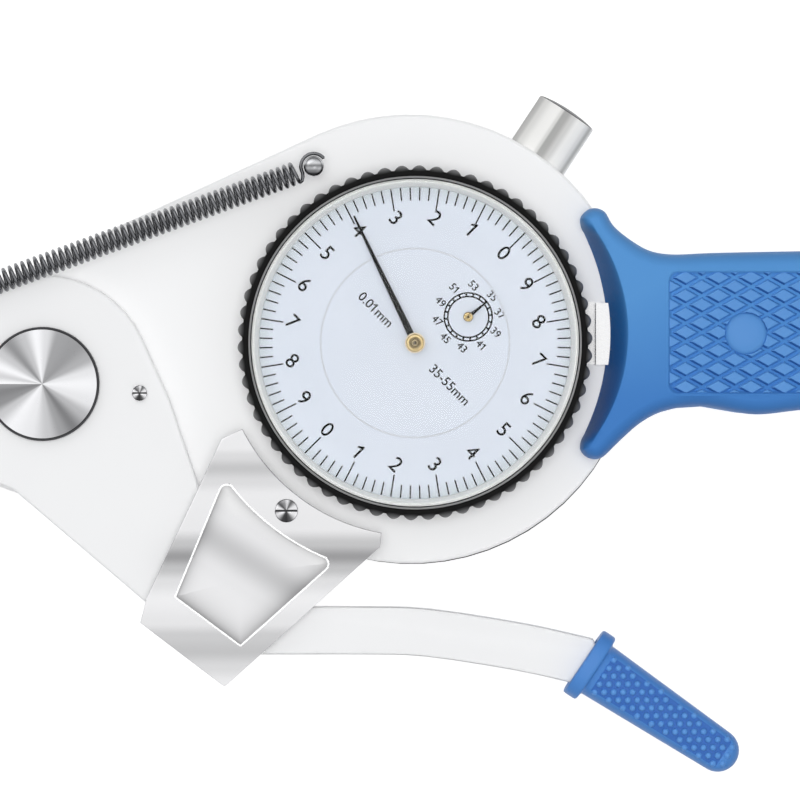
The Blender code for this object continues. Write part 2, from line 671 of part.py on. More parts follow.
def pointer(name, centre, angle, root, reach, half_width, level):
    """Flat tapered hand that starts beside its hub."""
    blade = bar([polar(root, angle, centre), polar(reach, angle, centre)], [half_width, POINTER_TIP_HALF_WIDTH])
    return plate(name, [(blade, level), (blade, level + POINTER_THICKNESS)], "pointer_black")


def make_train():
    """The three arbors with their wheels, and the two pointers with their hubs."""
    arbor_top = HUB_BOTTOM - CLEARANCE
    toward_counter = gear_direction + math.pi / CENTRE_PINION_TEETH
    arbor = wheel_on_arbor("centre_arbor", DIAL_CENTRE, CENTRE_PINION_TEETH, centre_pinion_radius, toward_counter,
                           WHEEL_BOTTOM, WHEEL_TOP + CLEARANCE, PLATE_BOTTOM, arbor_top)
    top = HUB_BOTTOM + HUB_HEIGHT
    hub = turned("pointer_hub", [(0.0, HUB_BOTTOM), (HUB_RADIUS, HUB_BOTTOM), (HUB_RADIUS, top - CLEARANCE),
                                 (HUB_RADIUS - CLEARANCE, top), (0.0, top)], 20, "brass")
    main = pointer("main_pointer", DIAL_CENTRE, POINTER_ANGLE, HUB_RADIUS + CLEARANCE, POINTER_LENGTH,
                   POINTER_ROOT_HALF_WIDTH, top - HUB_HEIGHT / 3)
    empty = axis_empty("pointer_axis", 0.0, 0.0, HUB_BOTTOM)
    hang(empty, arbor, hub, main)

    counter = wheel_on_arbor("counter_wheel", COUNTER, WHEEL_TEETH, wheel_radius, gear_direction + math.pi,
                             WHEEL_BOTTOM, WHEEL_TOP, PLATE_BOTTOM, arbor_top)
    top = HUB_BOTTOM + COUNTER_HUB_HEIGHT
    counter_hub = turned("counter_hub", [(0.0, HUB_BOTTOM), (COUNTER_HUB_RADIUS, HUB_BOTTOM),
                                         (COUNTER_HUB_RADIUS, top), (0.0, top)], 12, "brass", COUNTER)
    small = pointer("counter_pointer", COUNTER, COUNTER_POINTER_ANGLE, COUNTER_HUB_RADIUS + CLEARANCE,
                    COUNTER_POINTER_LENGTH, POINTER_ROOT_HALF_WIDTH / 2, top - COUNTER_HUB_HEIGHT / 2)
    empty = axis_empty("counter_axis", COUNTER_X, COUNTER_Y, HUB_BOTTOM)
    hang(empty, counter, counter_hub, small)

    drive = wheel_on_arbor("drive_wheel", DRIVE, WHEEL_TEETH, wheel_radius, gear_direction,
                           WHEEL_BOTTOM, WHEEL_TOP, RACK_BOTTOM - CLEARANCE, BRIDGE_TOP)
    rack_side = SPINDLE_ANGLE - math.pi / 2 + math.pi / PINION_TEETH
    outline = toothed_wheel(DRIVE, PINION_TEETH, pinion_radius, rack_side)
    pinion = plate("drive_wheel.pinion", [(outline, RACK_BOTTOM), (outline, RACK_TOP)], None)
    combine(drive, pinion, "UNION")
    empty = axis_empty("drive_axis", DRIVE[0], DRIVE[1], WHEEL_BOTTOM)
    hang(empty, drive)


# Dial and bezel

SCALLOPS = 62
SCALLOP_DEPTH = 0.0006
SEAT_RING_RADIUS = 0.0253
SEAT_RING_BORE_RADIUS = 0.0240
SEAT_RING_HEIGHT = 0.0017
BEZEL_LIP_HEIGHT = 0.0021
BEZEL_EDGE_RADIUS = 0.0281
BEZEL_EDGE_DROP = 0.0011
INNER_RING_BORE_RADIUS = 0.0255
INNER_RING_TOP_RADIUS = 0.0262
CRYSTAL_THICKNESS = 0.0012
DIAL_FOOT_RADIUS = 0.0010
DIAL_FOOT_PLACE = 0.0128


def scalloped_ring():
    """Black turning ring, its edge cut with shallow hollows for the fingers."""
    bottom = ARM_BOTTOM
    top = bottom + BEZEL_HEIGHT
    edge = []
    per_scallop = 3
    for i in range(SCALLOPS * per_scallop):
        depth = 0.0 if i % per_scallop == 0 else SCALLOP_DEPTH
        edge.append(polar(BEZEL_RADIUS - depth, 2 * math.pi * i / (SCALLOPS * per_scallop)))
    crown = [polar(BEZEL_EDGE_RADIUS, 2 * math.pi * i / (SCALLOPS * per_scallop))
             for i in range(SCALLOPS * per_scallop)]
    lip_bore = SEAT_RING_RADIUS + RUNNING_CLEARANCE
    bm = bmesh.new()
    outer = [[bm.verts.new((x, y, z)) for x, y in outline]
             for outline, z in ((edge, bottom), (edge, top - BEZEL_EDGE_DROP), (crown, top))]
    inner = [[bm.verts.new((x, y, z)) for x, y in circle(DIAL_CENTRE, radius, SCALLOPS)]
             for radius, z in ((BEZEL_BORE_RADIUS, top), (BEZEL_BORE_RADIUS, bottom + BEZEL_LIP_HEIGHT),
                               (lip_bore, bottom + BEZEL_LIP_HEIGHT), (lip_bore, bottom))]
    for rings in (outer, inner):
        for low, high in zip(rings, rings[1:]):
            for i, vert in enumerate(low):
                bm.faces.new((low[i - 1], vert, high[i], high[i - 1]))
    for around, within in ((outer[0], inner[-1]), (outer[-1], inner[0])):
        for i in range(SCALLOPS):
            k = i * per_scallop
            corners = [around[(k + j) % len(around)] for j in range(per_scallop + 1)]
            for a, b in zip(corners, corners[1:-1]):
                bm.faces.new((within[i], a, b))
            bm.faces.new((within[i], corners[-2], corners[-1], within[(i + 1) % SCALLOPS]))
    mesh = bpy.data.meshes.new("bezel")
    return finished("bezel", mesh, bm, "bezel_black")


def make_dial():
    bottom = ARM_BOTTOM
    seat_top = bottom + SEAT_RING_HEIGHT
    turned("bezel_seat_ring", [(SEAT_RING_BORE_RADIUS, bottom), (SEAT_RING_RADIUS, bottom),
                               (SEAT_RING_RADIUS, seat_top), (SEAT_RING_BORE_RADIUS, seat_top)],
           48, "polished_steel", ring=True)
    bezel = scalloped_ring()
    dial_level = bottom + BEZEL_LIP_HEIGHT + CLEARANCE
    dial_inner = DIAL_CENTRE_RADIUS + RUNNING_CLEARANCE
    ring_top = dial_level + DIAL_THICKNESS
    dial_ring = turned("dial_ring", [(dial_inner, dial_level), (DIAL_RADIUS, dial_level), (DIAL_RADIUS, ring_top),
                                     (dial_inner, ring_top)], 60, "dial_face", ring=True)
    flange_bottom = ring_top + CLEARANCE
    flange_top = bottom + BEZEL_HEIGHT - CRYSTAL_THICKNESS - 2 * CLEARANCE
    flange = turned("dial_flange", [(INNER_RING_BORE_RADIUS, flange_bottom), (DIAL_RADIUS, flange_bottom),
                                    (DIAL_RADIUS, flange_top), (INNER_RING_TOP_RADIUS, flange_top)],
                    60, "dial_silver", ring=True)
    glass_bottom = flange_top + CLEARANCE
    glass_top = glass_bottom + CRYSTAL_THICKNESS
    crystal = turned("crystal", [(0.0, glass_bottom), (DIAL_RADIUS, glass_bottom), (DIAL_RADIUS, glass_top),
                                 (0.0, glass_top)], 60, "crystal")
    empty = axis_empty("bezel_axis", 0.0, 0.0, bottom)
    hang(empty, bezel, dial_ring, flange, crystal)

    centre = turned("dial_centre", [(0.0, DIAL_BOTTOM), (DIAL_CENTRE_RADIUS, DIAL_BOTTOM),
                                    (DIAL_CENTRE_RADIUS, DIAL_TOP), (0.0, DIAL_TOP)], 40, "dial_face")
    across = gear_direction + math.pi / 2
    for foot in (polar(DIAL_FOOT_PLACE, across), polar(-DIAL_FOOT_PLACE, across)):
        tool = turned("dial_centre.foot", [(0.0, FRAME_TOP + CLEARANCE), (DIAL_FOOT_RADIUS, FRAME_TOP + CLEARANCE),
                                           (DIAL_FOOT_RADIUS, DIAL_BOTTOM + DIAL_THICKNESS / 2),
                                           (0.0, DIAL_BOTTOM + DIAL_THICKNESS / 2)], 8, None, foot)
        combine(centre, tool, "UNION")
    cut_holes(centre, [DIAL_CENTRE, COUNTER], ARBOR_HOLE_RADIUS, DIAL_BOTTOM - OVERRUN, DIAL_TOP + OVERRUN, 12)


# Pivot

PIVOT_CAP_RADIUS = 0.00935
PIVOT_CAP_THICKNESS = 0.0014
PIVOT_CAP_BEVEL = 0.0004
PIVOT_HEAD_RADIUS = 0.0068
BUSH_WALL = 0.0010


def make_pivot():
    bush_bore = PIVOT_SHAFT_RADIUS + RUNNING_CLEARANCE
    bush_outer = bush_bore + BUSH_WALL
    bush = turned("pivot_bush", [(bush_bore, ARM_BOTTOM), (bush_outer, ARM_BOTTOM), (bush_outer, ARM_TOP),
                                 (bush_bore, ARM_TOP)], 24, "brass", PIVOT, ring=True)
    cap_bottom = ARM_TOP + CLEARANCE
    cap_top = cap_bottom + PIVOT_CAP_THICKNESS
    turned("pivot_shaft", [(0.0, FRAME_BOTTOM), (PIVOT_SHAFT_RADIUS, FRAME_BOTTOM),
                           (PIVOT_SHAFT_RADIUS, ARM_TOP), (0.0, ARM_TOP)], 24, "polished_steel", PIVOT)
    turned("pivot_cap", [(0.0, cap_bottom), (PIVOT_CAP_RADIUS, cap_bottom),
                         (PIVOT_CAP_RADIUS, cap_top - PIVOT_CAP_BEVEL),
                         (PIVOT_CAP_RADIUS - PIVOT_CAP_BEVEL, cap_top), (0.0, cap_top)],
           48, "polished_steel", PIVOT)
    return bush, bush_outer


# Moving lever

TIP_SHANK_LENGTH = 0.0012
TIP_SHANK_RADIUS = 0.0009
LINK_Y = 0.0070
JAW_SEAT_DEPTH = 0.0150
MOVING_JAW_SHARES = [(0.0, 0.0), (0.30, 0.12), (0.62, 0.42), (0.86, 0.84), (1.0, 1.0)]
FIXED_JAW_SHARES = [(0.0, 0.0), (0.24, 0.10), (0.50, 0.36), (0.78, 0.78), (1.0, 1.0)]
JAW_TAPER_SHARES = (1.0, 0.86, 0.70, 0.54, 0.44)
JAW_TIP_HALF_WIDTH = JAW_ROOT_HALF_WIDTH * JAW_TAPER_SHARES[-1]
ARM_CHAMFER = 0.0003
SHOULDER_X = -0.0352
SHOULDER_Y = -0.0241
TAIL_INNER_X = -0.0325
TAIL_INNER_Y = -0.0360
TAIL_RIGHT_X = -0.0336
TAIL_RIGHT_Y = -0.0424
TAIL_LOW_Y = -0.0505
TAIL_LOW_X = -0.0360
FLANK_X = -0.0402
FLANK_Y = -0.0093
TAIL_LEFT_X = -0.0440
TAIL_LEFT_Y = -0.0426
PAD_RADIUS = 0.0022
PAD_THICKNESS = 0.0010
BLOCK_HALF_LENGTH = 0.0080
BLOCK_DEPTH = 0.0070
TRIGGER_START_X = -0.0330
TRIGGER_START_Y = -0.0468
TRIGGER_SPAN = 0.0606
TRIGGER_DROP = 0.0053
TRIGGER_SHARES = [(0.0, 0.0), (0.14, 0.06), (0.41, 0.06), (0.58, 0.13), (0.83, 0.57), (1.0, 1.0)]
SLEEVE_ANGLE = math.radians(-33.7)
TANG_REACH = 0.0200
TANG_HALF_WIDTH = 0.0023
SLEEVE_HALF_WIDTH = 0.00465
SLEEVE_HALF_HEIGHT = 0.0040
SLEEVE_TIP_SHARE = 0.76
COLLAR_HALF_WIDTH = 0.00605
COLLAR_HALF_HEIGHT = 0.00475
COLLAR_LENGTH = 0.0024
SCREW_HEAD_RADIUS = 0.0016
SCREW_HEAD_HEIGHT = 0.0006
SCREW_SHANK_RADIUS = 0.0008
STOP_HEAD_RADIUS = 0.00125
RISER_INSET_SHARE = 0.04
MOVING_SCREW_SHARES = (0.30, 0.78)
CORE_SHARES = (0.08, 0.5, 1.0)
TAIL_SCREW_SHARES = ((0.286, 0.30), (0.229, -0.171))
ROOT_SCREW_SHARES = ((0.28, 0.03), (0.76, 0.09))
BLOCK_SCREW_DEPTH = 0.0050
SLEEVE_SQUARENESS_SHARE = 0.75
MOUTH_SHARE = 0.82
SLEEVE_END_SHARES = ((1.0, 1.0), (0.35, 0.82), (0.0, 0.38))
JAW_ROOT = (PIVOT_X - NECK_RADIUS - 2 * CLEARANCE, LINK_Y)
TRIGGER_START = (TRIGGER_START_X, TRIGGER_START_Y)
COLLAR_PLACE = (TRIGGER_START_X + TRIGGER_SPAN, TRIGGER_START_Y - TRIGGER_DROP)


def jaw(name, start, root, ball, shares, outward):
    """Jaw bar, straight where it is held, then tapered, with a flat seat under its ball."""
    seat = ball[1] - outward * (TIP_BALL_RADIUS + TIP_SHANK_LENGTH + JAW_TIP_HALF_WIDTH)
    line = smooth(scaled(shares, ball[0] + JAW_TIP_HALF_WIDTH - root[0], seat - root[1], root), 3)
    taper = np.interp(np.linspace(0, 1, len(line)), np.linspace(0, 1, len(JAW_TAPER_SHARES)), JAW_TAPER_SHARES)
    widths = [JAW_ROOT_HALF_WIDTH * float(share) for share in taper]
    outline = bar([start] + line + [(ball[0] - JAW_TIP_HALF_WIDTH, seat)], widths[:1] + widths + widths[-1:])
    return plate(name, [(outline, JAW_BOTTOM), (outline, JAW_BOTTOM + JAW_THICKNESS)], "polished_steel")


def jaw_tip(name, ball, outward):
    """Hard ball contact on a short shank that stands on the jaw's end."""
    start = math.asin(TIP_SHANK_RADIUS / TIP_BALL_RADIUS)
    foot = -(TIP_BALL_RADIUS + TIP_SHANK_LENGTH - CLEARANCE)
    profile = [(0.0, foot), (TIP_SHANK_RADIUS, foot)]
    steps = 6
    for i in range(steps):
        angle = start + (math.pi - start) * i / steps
        profile.append((TIP_BALL_RADIUS * math.sin(angle), -TIP_BALL_RADIUS * math.cos(angle)))
    profile.append((0.0, TIP_BALL_RADIUS))
    frame = axis_frame((ball[0], ball[1], JAW_BOTTOM + JAW_THICKNESS / 2), (0.0, outward, 0.0))
    return turned(name, profile, 12, "polished_steel", frame=frame)


def screws(name, centres, underside, tip, radius, shank, height, steps=10):
    return turned_each(name, pan_head(radius, height, shank, underside, tip), steps, "polished_steel", centres)


def trigger_line():
    return smooth(scaled(TRIGGER_SHARES, TRIGGER_SPAN, -TRIGGER_DROP, TRIGGER_START), 3)


def make_jaws():
    fixed = jaw("fixed_jaw", FIXED_ROOT, (FIXED_ROOT[0] - JAW_SEAT_LENGTH, FIXED_ROOT[1]), FIXED_BALL,
                FIXED_JAW_SHARES, -1)
    shank = SCREW_SHANK_RADIUS
    cut_holes(fixed, fixed_screw_places, shank + CLEARANCE, JAW_BOTTOM - OVERRUN,
              JAW_BOTTOM + JAW_THICKNESS + OVERRUN, 8)
    cut_holes(bpy.data.objects["body_frame"], fixed_screw_places, shank + CLEARANCE,
              JAW_BOTTOM + JAW_THICKNESS, FRAME_TOP - CASE_SCREW_HEAD, 8)
    profile = [(0.0, FRAME_BOTTOM), (SCREW_HEAD_RADIUS, FRAME_BOTTOM), (SCREW_HEAD_RADIUS, JAW_BOTTOM - CLEARANCE),
               (shank, JAW_BOTTOM - CLEARANCE), (shank, FRAME_TOP - CASE_SCREW_HEAD - CLEARANCE),
               (0.0, FRAME_TOP - CASE_SCREW_HEAD - CLEARANCE)]
    turned_each("fixed_jaw_screw", profile, 8, "polished_steel", fixed_screw_places)
    jaw_tip("fixed_jaw_tip", FIXED_BALL, -1)

    seat_end = (JAW_ROOT[0] - JAW_SEAT_DEPTH, JAW_ROOT[1])
    moving = jaw("moving_jaw", JAW_ROOT, seat_end, MOVING_BALL, MOVING_JAW_SHARES, 1)
    half = JAW_ROOT_HALF_WIDTH * (1 - RISER_INSET_SHARE)
    seat = bar([JAW_ROOT, seat_end], [half, half])
    riser = plate("moving_jaw.riser", [(seat, JAW_BOTTOM + JAW_THICKNESS / 2), (seat, FRAME_TOP)], None)
    combine(moving, riser, "UNION")
    places = [(JAW_ROOT[0] - JAW_SEAT_DEPTH * share, JAW_ROOT[1]) for share in MOVING_SCREW_SHARES]
    cut_holes(moving, places, shank + CLEARANCE, JAW_BOTTOM + JAW_THICKNESS / 2, FRAME_TOP + OVERRUN, 8)
    moving_screws = screws("moving_jaw_screw", places, ARM_TOP + CLEARANCE,
                           JAW_BOTTOM + JAW_THICKNESS / 2 + CLEARANCE, SCREW_HEAD_RADIUS, shank, SCREW_HEAD_HEIGHT)
    tip = jaw_tip("moving_jaw_tip", MOVING_BALL, 1)
    return places, [moving, tip, *moving_screws]


def make_lever():
    """The plate on the pivot with its jaw, stop screw, push block, trigger and sleeve."""
    places, pieces = make_jaws()
    bush, bush_outer = make_pivot()
    link_end = JAW_ROOT[0] - JAW_SEAT_DEPTH - 2 * CLEARANCE
    link = [(link_end, LINK_Y + JAW_ROOT_HALF_WIDTH), (link_end, LINK_Y - JAW_ROOT_HALF_WIDTH)]
    tail = [(TAIL_LEFT_X, TAIL_LEFT_Y), (TAIL_LOW_X, TAIL_LOW_Y), (TAIL_RIGHT_X, TAIL_LOW_Y),
            (TAIL_RIGHT_X, TAIL_RIGHT_Y), (TAIL_INNER_X, TAIL_INNER_Y), (SHOULDER_X, SHOULDER_Y),
            (FLANK_X, FLANK_Y)]
    outline = arc(PIVOT, BOSS_RADIUS, 24.0, 118.0, 11) + link + arc(PIVOT, BOSS_RADIUS, 186.0, 254.0, 8) + tail
    arm = plate("moving_arm", chamfered(outline, ARM_BOTTOM, ARM_TOP, ARM_CHAMFER), "white_enamel")
    through = (ARM_BOTTOM - OVERRUN, ARM_TOP + OVERRUN)
    cut_holes(arm, [PIVOT], bush_outer + CLEARANCE, *through, 24)

    stop_place = (STOP_PIN_X, STOP_PIN_Y)
    stop = turned("stop_screw", pan_head(STOP_HEAD_RADIUS, SCREW_HEAD_HEIGHT, STOP_PIN_RADIUS,
                                         ARM_TOP + CLEARANCE, FRAME_TOP - STOP_SLOT_DEPTH + CLEARANCE),
                  12, "polished_steel", stop_place)
    cut_holes(arm, [stop_place], STOP_PIN_RADIUS + CLEARANCE, *through, 10)

    contact = Vector(on_spindle(-SPINDLE_REACH))
    outwards = (contact - Vector(PIVOT)).normalized()
    face = Vector((outwards.y, -outwards.x))
    pad_front = contact + face * CLEARANCE
    pad = turned("push_pad", [(0.0, 0.0), (PAD_RADIUS, 0.0), (PAD_RADIUS, PAD_THICKNESS), (0.0, PAD_THICKNESS)],
                 14, "polished_steel", frame=axis_frame((*pad_front, SPINDLE_HEIGHT), (*face, 0.0)))
    front = pad_front + face * (PAD_THICKNESS + CLEARANCE)
    half = outwards * BLOCK_HALF_LENGTH
    deep = face * BLOCK_DEPTH
    block_outline = [tuple(corner) for corner in (front - half, front - half + deep, front + half + deep, front + half)]
    block = plate("push_block", [(block_outline, SPINDLE_HEIGHT - PAD_RADIUS - CLEARANCE),
                                 (block_outline, FRAME_TOP)], "polished_steel")

    line = trigger_line()
    along_sleeve = Vector((math.cos(SLEEVE_ANGLE), math.sin(SLEEVE_ANGLE)))
    core = [tuple(Vector(COLLAR_PLACE) + along_sleeve * TANG_REACH * share) for share in CORE_SHARES]
    widths = [TRIGGER_WIDTH / 2] * len(line) + [TANG_HALF_WIDTH] * len(core)
    side = normals(line + core, False)
    right = [(p[0] + n.x * w, p[1] + n.y * w) for p, n, w in zip(line + core, side, widths)]
    left = [(p[0] - n.x * w, p[1] - n.y * w) for p, n, w in zip(line + core, side, widths)]
    trigger = plate("trigger_lever", chamfered(right + left[::-1], ARM_BOTTOM, ARM_TOP, ARM_CHAMFER), "white_enamel")

    tail_places = [(TAIL_RIGHT_X - BLOCK_DEPTH * u, TAIL_LEFT_Y + BLOCK_DEPTH * v) for u, v in TAIL_SCREW_SHARES]
    root_places = [(TRIGGER_START_X + TRIGGER_WIDTH * u, TRIGGER_START_Y - TRIGGER_WIDTH * v)
                   for u, v in ROOT_SCREW_SHARES]
    hole = SCREW_SHANK_RADIUS + CLEARANCE
    depth = FRAME_TOP - BLOCK_SCREW_DEPTH
    cut_holes(arm, places + tail_places, hole, *through, 8)
    cut_holes(trigger, root_places, hole, *through, 8)
    cut_holes(block, tail_places + root_places, hole, depth, FRAME_TOP + OVERRUN, 8)
    block_screws = screws("push_block_screw", tail_places + root_places, ARM_TOP + CLEARANCE, depth + CLEARANCE,
                          SCREW_HEAD_RADIUS, SCREW_SHANK_RADIUS, SCREW_HEAD_HEIGHT)
    sleeve = make_sleeve(along_sleeve)
    pin = anchor_post("spring_pin", SPRING_PIN, ARM_BOTTOM + CLEARANCE)
    cut_holes(arm, [SPRING_PIN], ANCHOR_NECK_RADIUS + CLEARANCE, *through, 10)
    empty = axis_empty("lever_axis", PIVOT_X, PIVOT_Y, ARM_BOTTOM)
    hang(empty, bush, arm, stop, pad, block, trigger, sleeve, pin, *block_screws, *pieces)


def make_sleeve(along_sleeve):
    """Moulded finger sleeve: a collar, then a flattened grip that tapers to a round tip."""
    middle = (ARM_BOTTOM + ARM_TOP) / 2
    tip_width = SLEEVE_HALF_WIDTH * SLEEVE_TIP_SHARE
    tip_height = SLEEVE_HALF_HEIGHT * SLEEVE_TIP_SHARE
    stations = [(0.0, COLLAR_HALF_WIDTH, COLLAR_HALF_HEIGHT), (COLLAR_LENGTH, COLLAR_HALF_WIDTH, COLLAR_HALF_HEIGHT),
                (COLLAR_LENGTH, SLEEVE_HALF_WIDTH, SLEEVE_HALF_HEIGHT),
                *[(SLEEVE_LENGTH - tip_width * back, tip_width * share, tip_height * share)
                  for back, share in SLEEVE_END_SHARES]]
    across = Vector((-along_sleeve.y, along_sleeve.x))
    count = 16
    bm = bmesh.new()
    rings = []
    for reach, half_width, half_height in stations:
        centre = Vector(COLLAR_PLACE) + along_sleeve * reach
        ring = []
        for i in range(count):
            angle = 2 * math.pi * (i + 1 / 2) / count
            c, s = math.cos(angle), math.sin(angle)
            u = math.copysign(abs(c) ** SLEEVE_SQUARENESS_SHARE, c) * half_width
            v = math.copysign(abs(s) ** SLEEVE_SQUARENESS_SHARE, s) * half_height
            place = centre + across * u
            ring.append(bm.verts.new((place.x, place.y, middle + v)))
        rings.append(ring)
    for low, high in zip(rings, rings[1:]):
        for i in range(count):
            bm.faces.new((low[i - 1], low[i], high[i], high[i - 1]))
    bm.faces.new(rings[0])
    bm.faces.new(rings[-1])
    mesh = bpy.data.meshes.new("trigger_sleeve")
    sleeve = finished("trigger_sleeve", mesh, bm, "sleeve_blue")
    socket_line = [tuple(Vector(COLLAR_PLACE) + along_sleeve * reach)
                   for reach in (-OVERRUN, TANG_REACH + CLEARANCE)]
    half = TANG_HALF_WIDTH + CLEARANCE
    socket = bar(socket_line, [half, half])
    cut_plate(sleeve, socket, ARM_BOTTOM - CLEARANCE, ARM_TOP + CLEARANCE)
    mouth = [tuple(Vector(COLLAR_PLACE) + along_sleeve * reach) for reach in (-OVERRUN, COLLAR_LENGTH * MOUTH_SHARE)]
    half = TRIGGER_WIDTH / 2 + CLEARANCE
    cut_plate(sleeve, bar(mouth, [half, half]), ARM_BOTTOM - CLEARANCE, ARM_TOP + CLEARANCE)
    return sleeve


# Return spring

ANCHOR_HEAD_RADIUS = 0.00165
ANCHOR_NECK_RADIUS = 0.0010
ANCHOR_HEAD_HEIGHT = 0.0012
ANCHOR_X = -0.01656
ANCHOR_Y = 0.02885
SPRING_PIN_X = -0.0785
SPRING_PIN_Y = 0.0078
SPRING_PIN = (SPRING_PIN_X, SPRING_PIN_Y)
SPRING_LEVEL = ARM_TOP + 2 * CLEARANCE + COIL_RADIUS + WIRE_RADIUS
HOOK_RADIUS = 0.0021
HOOK_GAP = 0.0030
POINTS_PER_CURL = 8
HOOK_DEGREES = (20, 50, 80, 110, 140, 170, 190)
HOOK_BEND_SHARE = 0.80


def anchor_post(name, centre, bottom):
    """Shouldered screw that a hook of the spring goes round."""
    neck_top = SPRING_LEVEL + WIRE_RADIUS + CLEARANCE
    profile = [(0.0, bottom), (ANCHOR_NECK_RADIUS, bottom), (ANCHOR_NECK_RADIUS, neck_top),
               (ANCHOR_HEAD_RADIUS, neck_top), (ANCHOR_HEAD_RADIUS, neck_top + ANCHOR_HEAD_HEIGHT / 3),
               (ANCHOR_HEAD_RADIUS * HEAD_CROWN_SHARE, neck_top + ANCHOR_HEAD_HEIGHT * 5 / 6),
               (0.0, neck_top + ANCHOR_HEAD_HEIGHT)]
    return turned(name, profile, 14, "polished_steel", centre)


def make_spring():
    """Extension spring: a hook at each end and close curls between, as one tube."""
    start, end = Vector((ANCHOR_X, ANCHOR_Y)), Vector(SPRING_PIN)
    reach = (end - start).length
    ahead = (end - start) / reach
    aside = Vector((-ahead.y, ahead.x))
    coil_start = HOOK_GAP
    curls = round((reach - 2 * coil_start) / COIL_PITCH)
    pitch = (reach - 2 * coil_start) / curls

    def place(along, across, up):
        spot = start + ahead * along + aside * across
        return (spot.x, spot.y, SPRING_LEVEL + up)

    def hook(centre, way):
        points = [place(centre - way * HOOK_RADIUS * math.cos(angle), -HOOK_RADIUS * math.sin(angle), 0.0)
                  for angle in [math.radians(degrees) for degrees in HOOK_DEGREES]]
        return points + [place(centre + way * HOOK_GAP * HOOK_BEND_SHARE, COIL_RADIUS * HOOK_BEND_SHARE, 0.0)]

    points = hook(0.0, 1)
    for i in range(curls * POINTS_PER_CURL + 1):
        turn = 2 * math.pi * i / POINTS_PER_CURL
        points.append(place(coil_start + pitch * i / POINTS_PER_CURL, COIL_RADIUS * math.cos(turn),
                            COIL_RADIUS * math.sin(turn)))
    points += hook(reach, -1)[::-1]
    curve = bpy.data.curves.new("return_spring", "CURVE")
    curve.dimensions = "3D"
    curve.bevel_depth = WIRE_RADIUS
    curve.bevel_resolution = 1
    curve.use_fill_caps = True
    spline = curve.splines.new("POLY")
    spline.points.add(len(points) - 1)
    for spot, point in zip(spline.points, points):
        spot.co = (*point, 1.0)
    curve.materials.append(material("spring_steel"))
    spring = bpy.data.objects.new("return_spring", curve)
    bpy.context.collection.objects.link(spring)
    spots = np.array(points)
    least = min(np.linalg.norm(spots[i + POINTS_PER_CURL - 2:] - spots[i], axis=1).min()
                for i in range(len(spots) - POINTS_PER_CURL + 2))
    print(f"return_spring least gap to itself {1000 * (least - 2 * WIRE_RADIUS):.2f} mm")


# Guard over the contact

GUARD_BOTTOM = ARM_TOP + CLEARANCE + SCREW_HEAD_HEIGHT + 2 * CLEARANCE
GUARD_THICKNESS = 0.0024
GUARD_CHAMFER = 0.0004
GUARD_GAP = 0.0025
GUARD_START_DEGREES = 260.0
GUARD_END_DEGREES = 206.5
GUARD_RIGHT_X = -0.0057
GUARD_RIGHT_Y = -0.0333
GUARD_LOW_X = -0.0311
GUARD_LOW_Y = -0.0562
GUARD_LEFT_X = -0.0449
GUARD_LEFT_Y = -0.0457
GUARD_STEP_X = -0.0438
GUARD_STEP_Y = -0.0416
GUARD_TOP_X = -0.0316
GUARD_TOP_Y = -0.0157
WINDOW_RADIUS = 0.0380
WINDOW_START_DEGREES = 249.9
WINDOW_END_DEGREES = 215.2
WINDOW_LOW_X = -0.0285
WINDOW_LOW_Y = -0.0495
WINDOW_LEFT_X = -0.0392
WINDOW_LEFT_Y = -0.0415
WINDOW_DEPTH = 0.0011
WINDOW_CORNER = 0.0012
FOOT_START_DEGREES = 217.5
FOOT_END_DEGREES = 244.0
FOOT_RADIUS = 0.0363
GUARD_SCREW_X = -0.0210
GUARD_SCREW_Y = -0.0274
GUARD_SCREW_SHANK = 0.0010
GUARD_SCREW_HEAD = 0.0019
GUARD_SCREW_BITE = 0.0022


